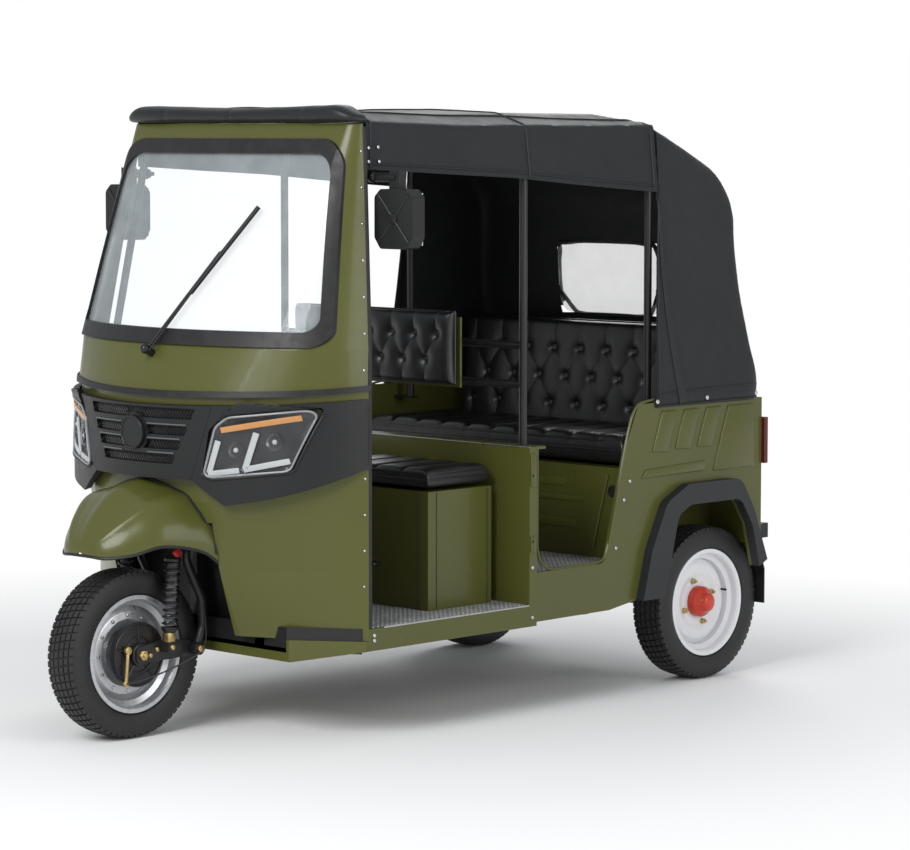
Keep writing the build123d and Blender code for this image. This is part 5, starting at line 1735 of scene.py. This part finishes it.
def make_seat_trim():
    """The seat base's ribs and folds, black discs in its holes as painted shade, and the driver's seat box's
    seams.
    """
    ribs = [
        add_block(f"base_rib{low}", (-half, 0.5415, low), (half, 0.5455, high), 0.0018)
        for low, high, half in BASE_RIBS
    ]
    fitted("seat_base_ribs", ribs, "olive", mirror=False)
    upright = [(0.529, 0.5425, 0.700), (0.499, 0.5425, 0.585), (0.469, 0.5425, 0.466)]
    fitted("seat_base_folds", [add_tube("fold", upright, 0.004)], "olive")
    # Each hole is filled by a flat black disc, a painted shade of the hole's inside
    ends = ((0.548, 0.5445, 0.648), (0.548, 0.5405, 0.648))
    hole = add_turned("hole", ends, [(0.0, 0.0005), (0.0, 0.019), (1.0, 0.019), (1.0, 0.0005)])
    fitted("seat_base_grommets", [hole], "rubber")
    seams = [add_bar(f"seam{y}", (x, y, 0.338), (x, y, 0.694), 0.0014, 0.0, 8) for x, y in BOX_SEAMS]
    fitted("seat_box_seams", seams, "rubber")


def make_nose_shade_plates():
    """The plates under the nose: they close the gap above the front beam, and their black is a painted shade
    of that gap.
    """
    plates = []
    for (x0, y0), (x1, y1) in zip(NOSE_SHADE_PLATES, NOSE_SHADE_PLATES[1:]):
        corners = [(x0, y0, 0.262), (x1, y1, 0.262), (x1, y1, 0.336), (x0, y0, 0.336)]
        plates.append(add_plate(f"close{x0}", corners, 0.003, 0.0))
    # Black paint here is a painted shade of the gap between the front beam and the nose
    fitted("nose_closers", plates, "black_paint")


def make_pedal():
    """The brake pedal."""
    pedal = [
        add_bar("pedal_arm", (0.30, -0.315, 0.40), (0.30, -0.285, 0.475), 0.006),
        add_block("pedal_pad", (0.272, -0.300, 0.468), (0.328, -0.262, 0.480), 0.003),
    ]
    fitted("pedal", pedal, "gloss_plastic", mirror=False)


class TRICYCLE_OT_trim(bpy.types.Operator):
    """Makes the raised panels, beads, mats, bolts, screws, mirrors' ribs and wiper details."""

    bl_idname = "tricycle.trim"
    bl_label = "Trim"

    def execute(self, context):
        make_tub_panels()
        make_doorway_trim()
        make_floor_mats()
        make_post_trim()
        make_mirror_trim()
        make_wiper_trim()
        make_seat_trim()
        make_nose_shade_plates()
        make_pedal()
        return {"FINISHED"}


class TRICYCLE_OT_controls(bpy.types.Operator):
    """Makes the handlebar's grips, levers and switches, and the instrument housing."""

    bl_idname = "tricycle.controls"
    bl_label = "Controls"

    def execute(self, context):
        ribs = folds(11, 0.0, 1.0, 0.0150, 0.0165)
        shape = [(0.0, 0.0112), (0.0, 0.020), (0.02, 0.020), *ribs[1:], (1.0, 0.002)]
        grip = add_turned("grip", (GRIP_INNER, GRIP_OUTER), shape, 28)
        fitted("handlebar_grips", [grip], "rubber", STEERING)
        axis = (GRIP_OUTER - GRIP_INNER).normalized()
        perch_foot = GRIP_INNER - axis * 0.030
        perch_reach = Vector((0.002, -0.024, -0.006))
        box = add_bar("switch", GRIP_INNER - axis * 0.040, GRIP_INNER - axis * 0.004, 0.0195, 0.004, 20)
        button = add_ball("button", GRIP_INNER - axis * 0.022 + Vector((0, 0.018, 0.008)), 0.006, 12)
        perch = add_bar("perch", perch_foot, perch_foot + perch_reach, 0.008)
        fitted("switch_boxes", [box, button, perch], "gloss_plastic", STEERING)
        start = GRIP_INNER - axis * 0.026 + perch_reach
        # The lever's bends: how far along the grip, and the step forward and down there
        bends = ((0.0, 0.0, 0.0), (0.04, -0.003, 0.0), (0.09, 0.001, -0.002), (0.112, 0.0, 0.0))
        lever = [start + axis * out + Vector((0, forward, down)) for out, forward, down in bends]
        levers = [add_tube("lever", lever, 0.0048), add_ball("lever_ball", lever[-1], 0.0065, 16)]
        fitted("hand_levers", levers, "steel", STEERING)
        low = Vector((-0.070, -0.735, 1.045))
        pod = [
            add_block("pod", low, low + Vector((0.140, 0.060, 0.055)), 0.012, 4),
            add_block("pod_stalk", (-0.020, -0.705, 1.020), (0.020, -0.685, 1.050), 0.002),
        ]
        fitted("instrument_pod", pod, "plastic", STEERING, mirror=False)
        return {"FINISHED"}


class TRICYCLE_OT_finishes(bpy.types.Operator):
    """Makes the materials and gives each node its own."""

    bl_idname = "tricycle.finishes"
    bl_label = "Finishes"

    def execute(self, context):
        MATERIALS.update(make_materials())
        for finish, names in NODE_FINISH.items():
            for name in names:
                node = NODES[name]
                node.data.materials.clear()
                node.data.materials.append(MATERIALS[finish])
                soften(node, 32.0)
        return {"FINISHED"}


# Stage


def add_lamp(name, place, target, size, watts):
    """A soft square lamp that points at a target."""
    data = bpy.data.lights.new(name, "AREA")
    data.shape = "SQUARE"
    data.size = size
    data.energy = watts
    lamp = bpy.data.objects.new(name, data)
    bpy.context.collection.objects.link(lamp)
    lamp.location = place
    lamp.rotation_euler = (target - Vector(place)).to_track_quat("-Z", "Y").to_euler()


class TRICYCLE_OT_stage(bpy.types.Operator):
    """Makes the floor, the lamps, the background and the camera."""

    bl_idname = "tricycle.stage"
    bl_label = "Stage"

    def execute(self, context):
        stage = settings().stage
        deselect()
        bpy.ops.mesh.primitive_plane_add(size=60.0, location=(0, 0, 0))
        floor = bpy.context.object
        floor.name = "floor"
        finish = Finish("floor_paint", Roughness=0.9, Specular_IOR_Level=0.1)
        finish.set("Base Color", (0.86, 0.86, 0.86))
        reach = finish.node("ShaderNodeVectorMath", {"operation": "LENGTH"}, [finish.place()], output="Value")
        fade = reach.between(stage.floor_near, stage.floor_far)
        white = finish.node("ShaderNodeEmission", sockets={"Color": (1.0, 1.0, 1.0), "Strength": 1.0})
        blend = finish.node("ShaderNodeMixShader", sockets={0: fade})
        finish.tree.links.new(finish.shader.outputs[0], blend.socket.node.inputs[1])
        finish.tree.links.new(white.socket, blend.socket.node.inputs[2])
        output = next(node for node in finish.tree.nodes if node.type == "OUTPUT_MATERIAL")
        finish.tree.links.new(blend.socket, output.inputs[0])
        floor.data.materials.append(finish.material)

        world = bpy.data.worlds.new("surroundings")
        bpy.context.scene.world = world
        world.use_nodes = True
        tree = world.node_tree
        tree.nodes.clear()
        output = tree.nodes.new("ShaderNodeOutputWorld")
        shown = tree.nodes.new("ShaderNodeBackground")
        shown.inputs["Color"].default_value = (1, 1, 1, 1)
        shown.inputs["Strength"].default_value = 1.0
        light = tree.nodes.new("ShaderNodeBackground")
        light.inputs["Color"].default_value = (0.95, 0.97, 1.0, 1)
        light.inputs["Strength"].default_value = stage.sky
        mix = tree.nodes.new("ShaderNodeMixShader")
        path = tree.nodes.new("ShaderNodeLightPath")
        tree.links.new(path.outputs["Is Camera Ray"], mix.inputs["Fac"])
        tree.links.new(light.outputs[0], mix.inputs[1])
        tree.links.new(shown.outputs[0], mix.inputs[2])
        tree.links.new(mix.outputs[0], output.inputs[0])

        middle = Vector((0.0, 0.0, 0.9))
        add_lamp("key_lamp", (1.5, -6.0, 4.5), middle, 3.0, stage.key)
        add_lamp("fill_lamp", (6.5, 0.5, 2.6), middle, 3.5, stage.fill)
        add_lamp("back_lamp", (-3.0, 5.0, 4.0), middle, 3.0, stage.fill)

        data = bpy.data.cameras.new("camera")
        data.lens = stage.lens
        data.sensor_width = 36.0
        data.shift_x, data.shift_y = stage.shift
        camera = bpy.data.objects.new("camera", data)
        bpy.context.collection.objects.link(camera)
        camera.location = stage.place
        camera.rotation_euler = (math.pi / 2 - stage.pitch, 0.0, stage.azimuth)
        bpy.context.scene.camera = camera
        bpy.context.scene.view_settings.view_transform = "Standard"
        return {"FINISHED"}


class TRICYCLE_PT_panel(bpy.types.Panel):
    """Lists the tricycle's operators and settings."""

    bl_label = "Tricycle"
    bl_idname = "TRICYCLE_PT_panel"
    bl_space_type = "VIEW_3D"
    bl_region_type = "UI"
    bl_category = "Tricycle"

    def draw(self, context):
        for operator in OPERATORS:
            self.layout.operator(operator.bl_idname)
        for group in ("tyres", "colours", "stage"):
            values = getattr(settings(), group)
            for name in values.__annotations__:
                self.layout.prop(values, name)


SETTINGS = (TyreSizes, Colours, StageSettings, TricycleSettings)
OPERATORS = (
    TRICYCLE_OT_finishes,
    TRICYCLE_OT_stage,
    TRICYCLE_OT_tyres,
    TRICYCLE_OT_canopy,
    TRICYCLE_OT_seats,
    TRICYCLE_OT_visor,
    TRICYCLE_OT_lamps,
    TRICYCLE_OT_grille,
    TRICYCLE_OT_wheels,
    TRICYCLE_OT_suspension,
    TRICYCLE_OT_fender,
    TRICYCLE_OT_trim,
    TRICYCLE_OT_controls,
)


def register():
    """Adds the settings, the operators and the panel."""
    for kind in (*SETTINGS, *OPERATORS, TRICYCLE_PT_panel):
        bpy.utils.register_class(kind)
    bpy.types.Scene.tricycle = PointerProperty(type=TricycleSettings)


def unregister():
    """Takes them away again."""
    del bpy.types.Scene.tricycle
    for kind in reversed((*SETTINGS, *OPERATORS, TRICYCLE_PT_panel)):
        bpy.utils.unregister_class(kind)


def main():
    """Makes every piece in order."""
    register()
    for operator in OPERATORS:
        group, action = operator.bl_idname.split(".")
        getattr(getattr(bpy.ops, group), action)()


if __name__ == "__main__":
    main()
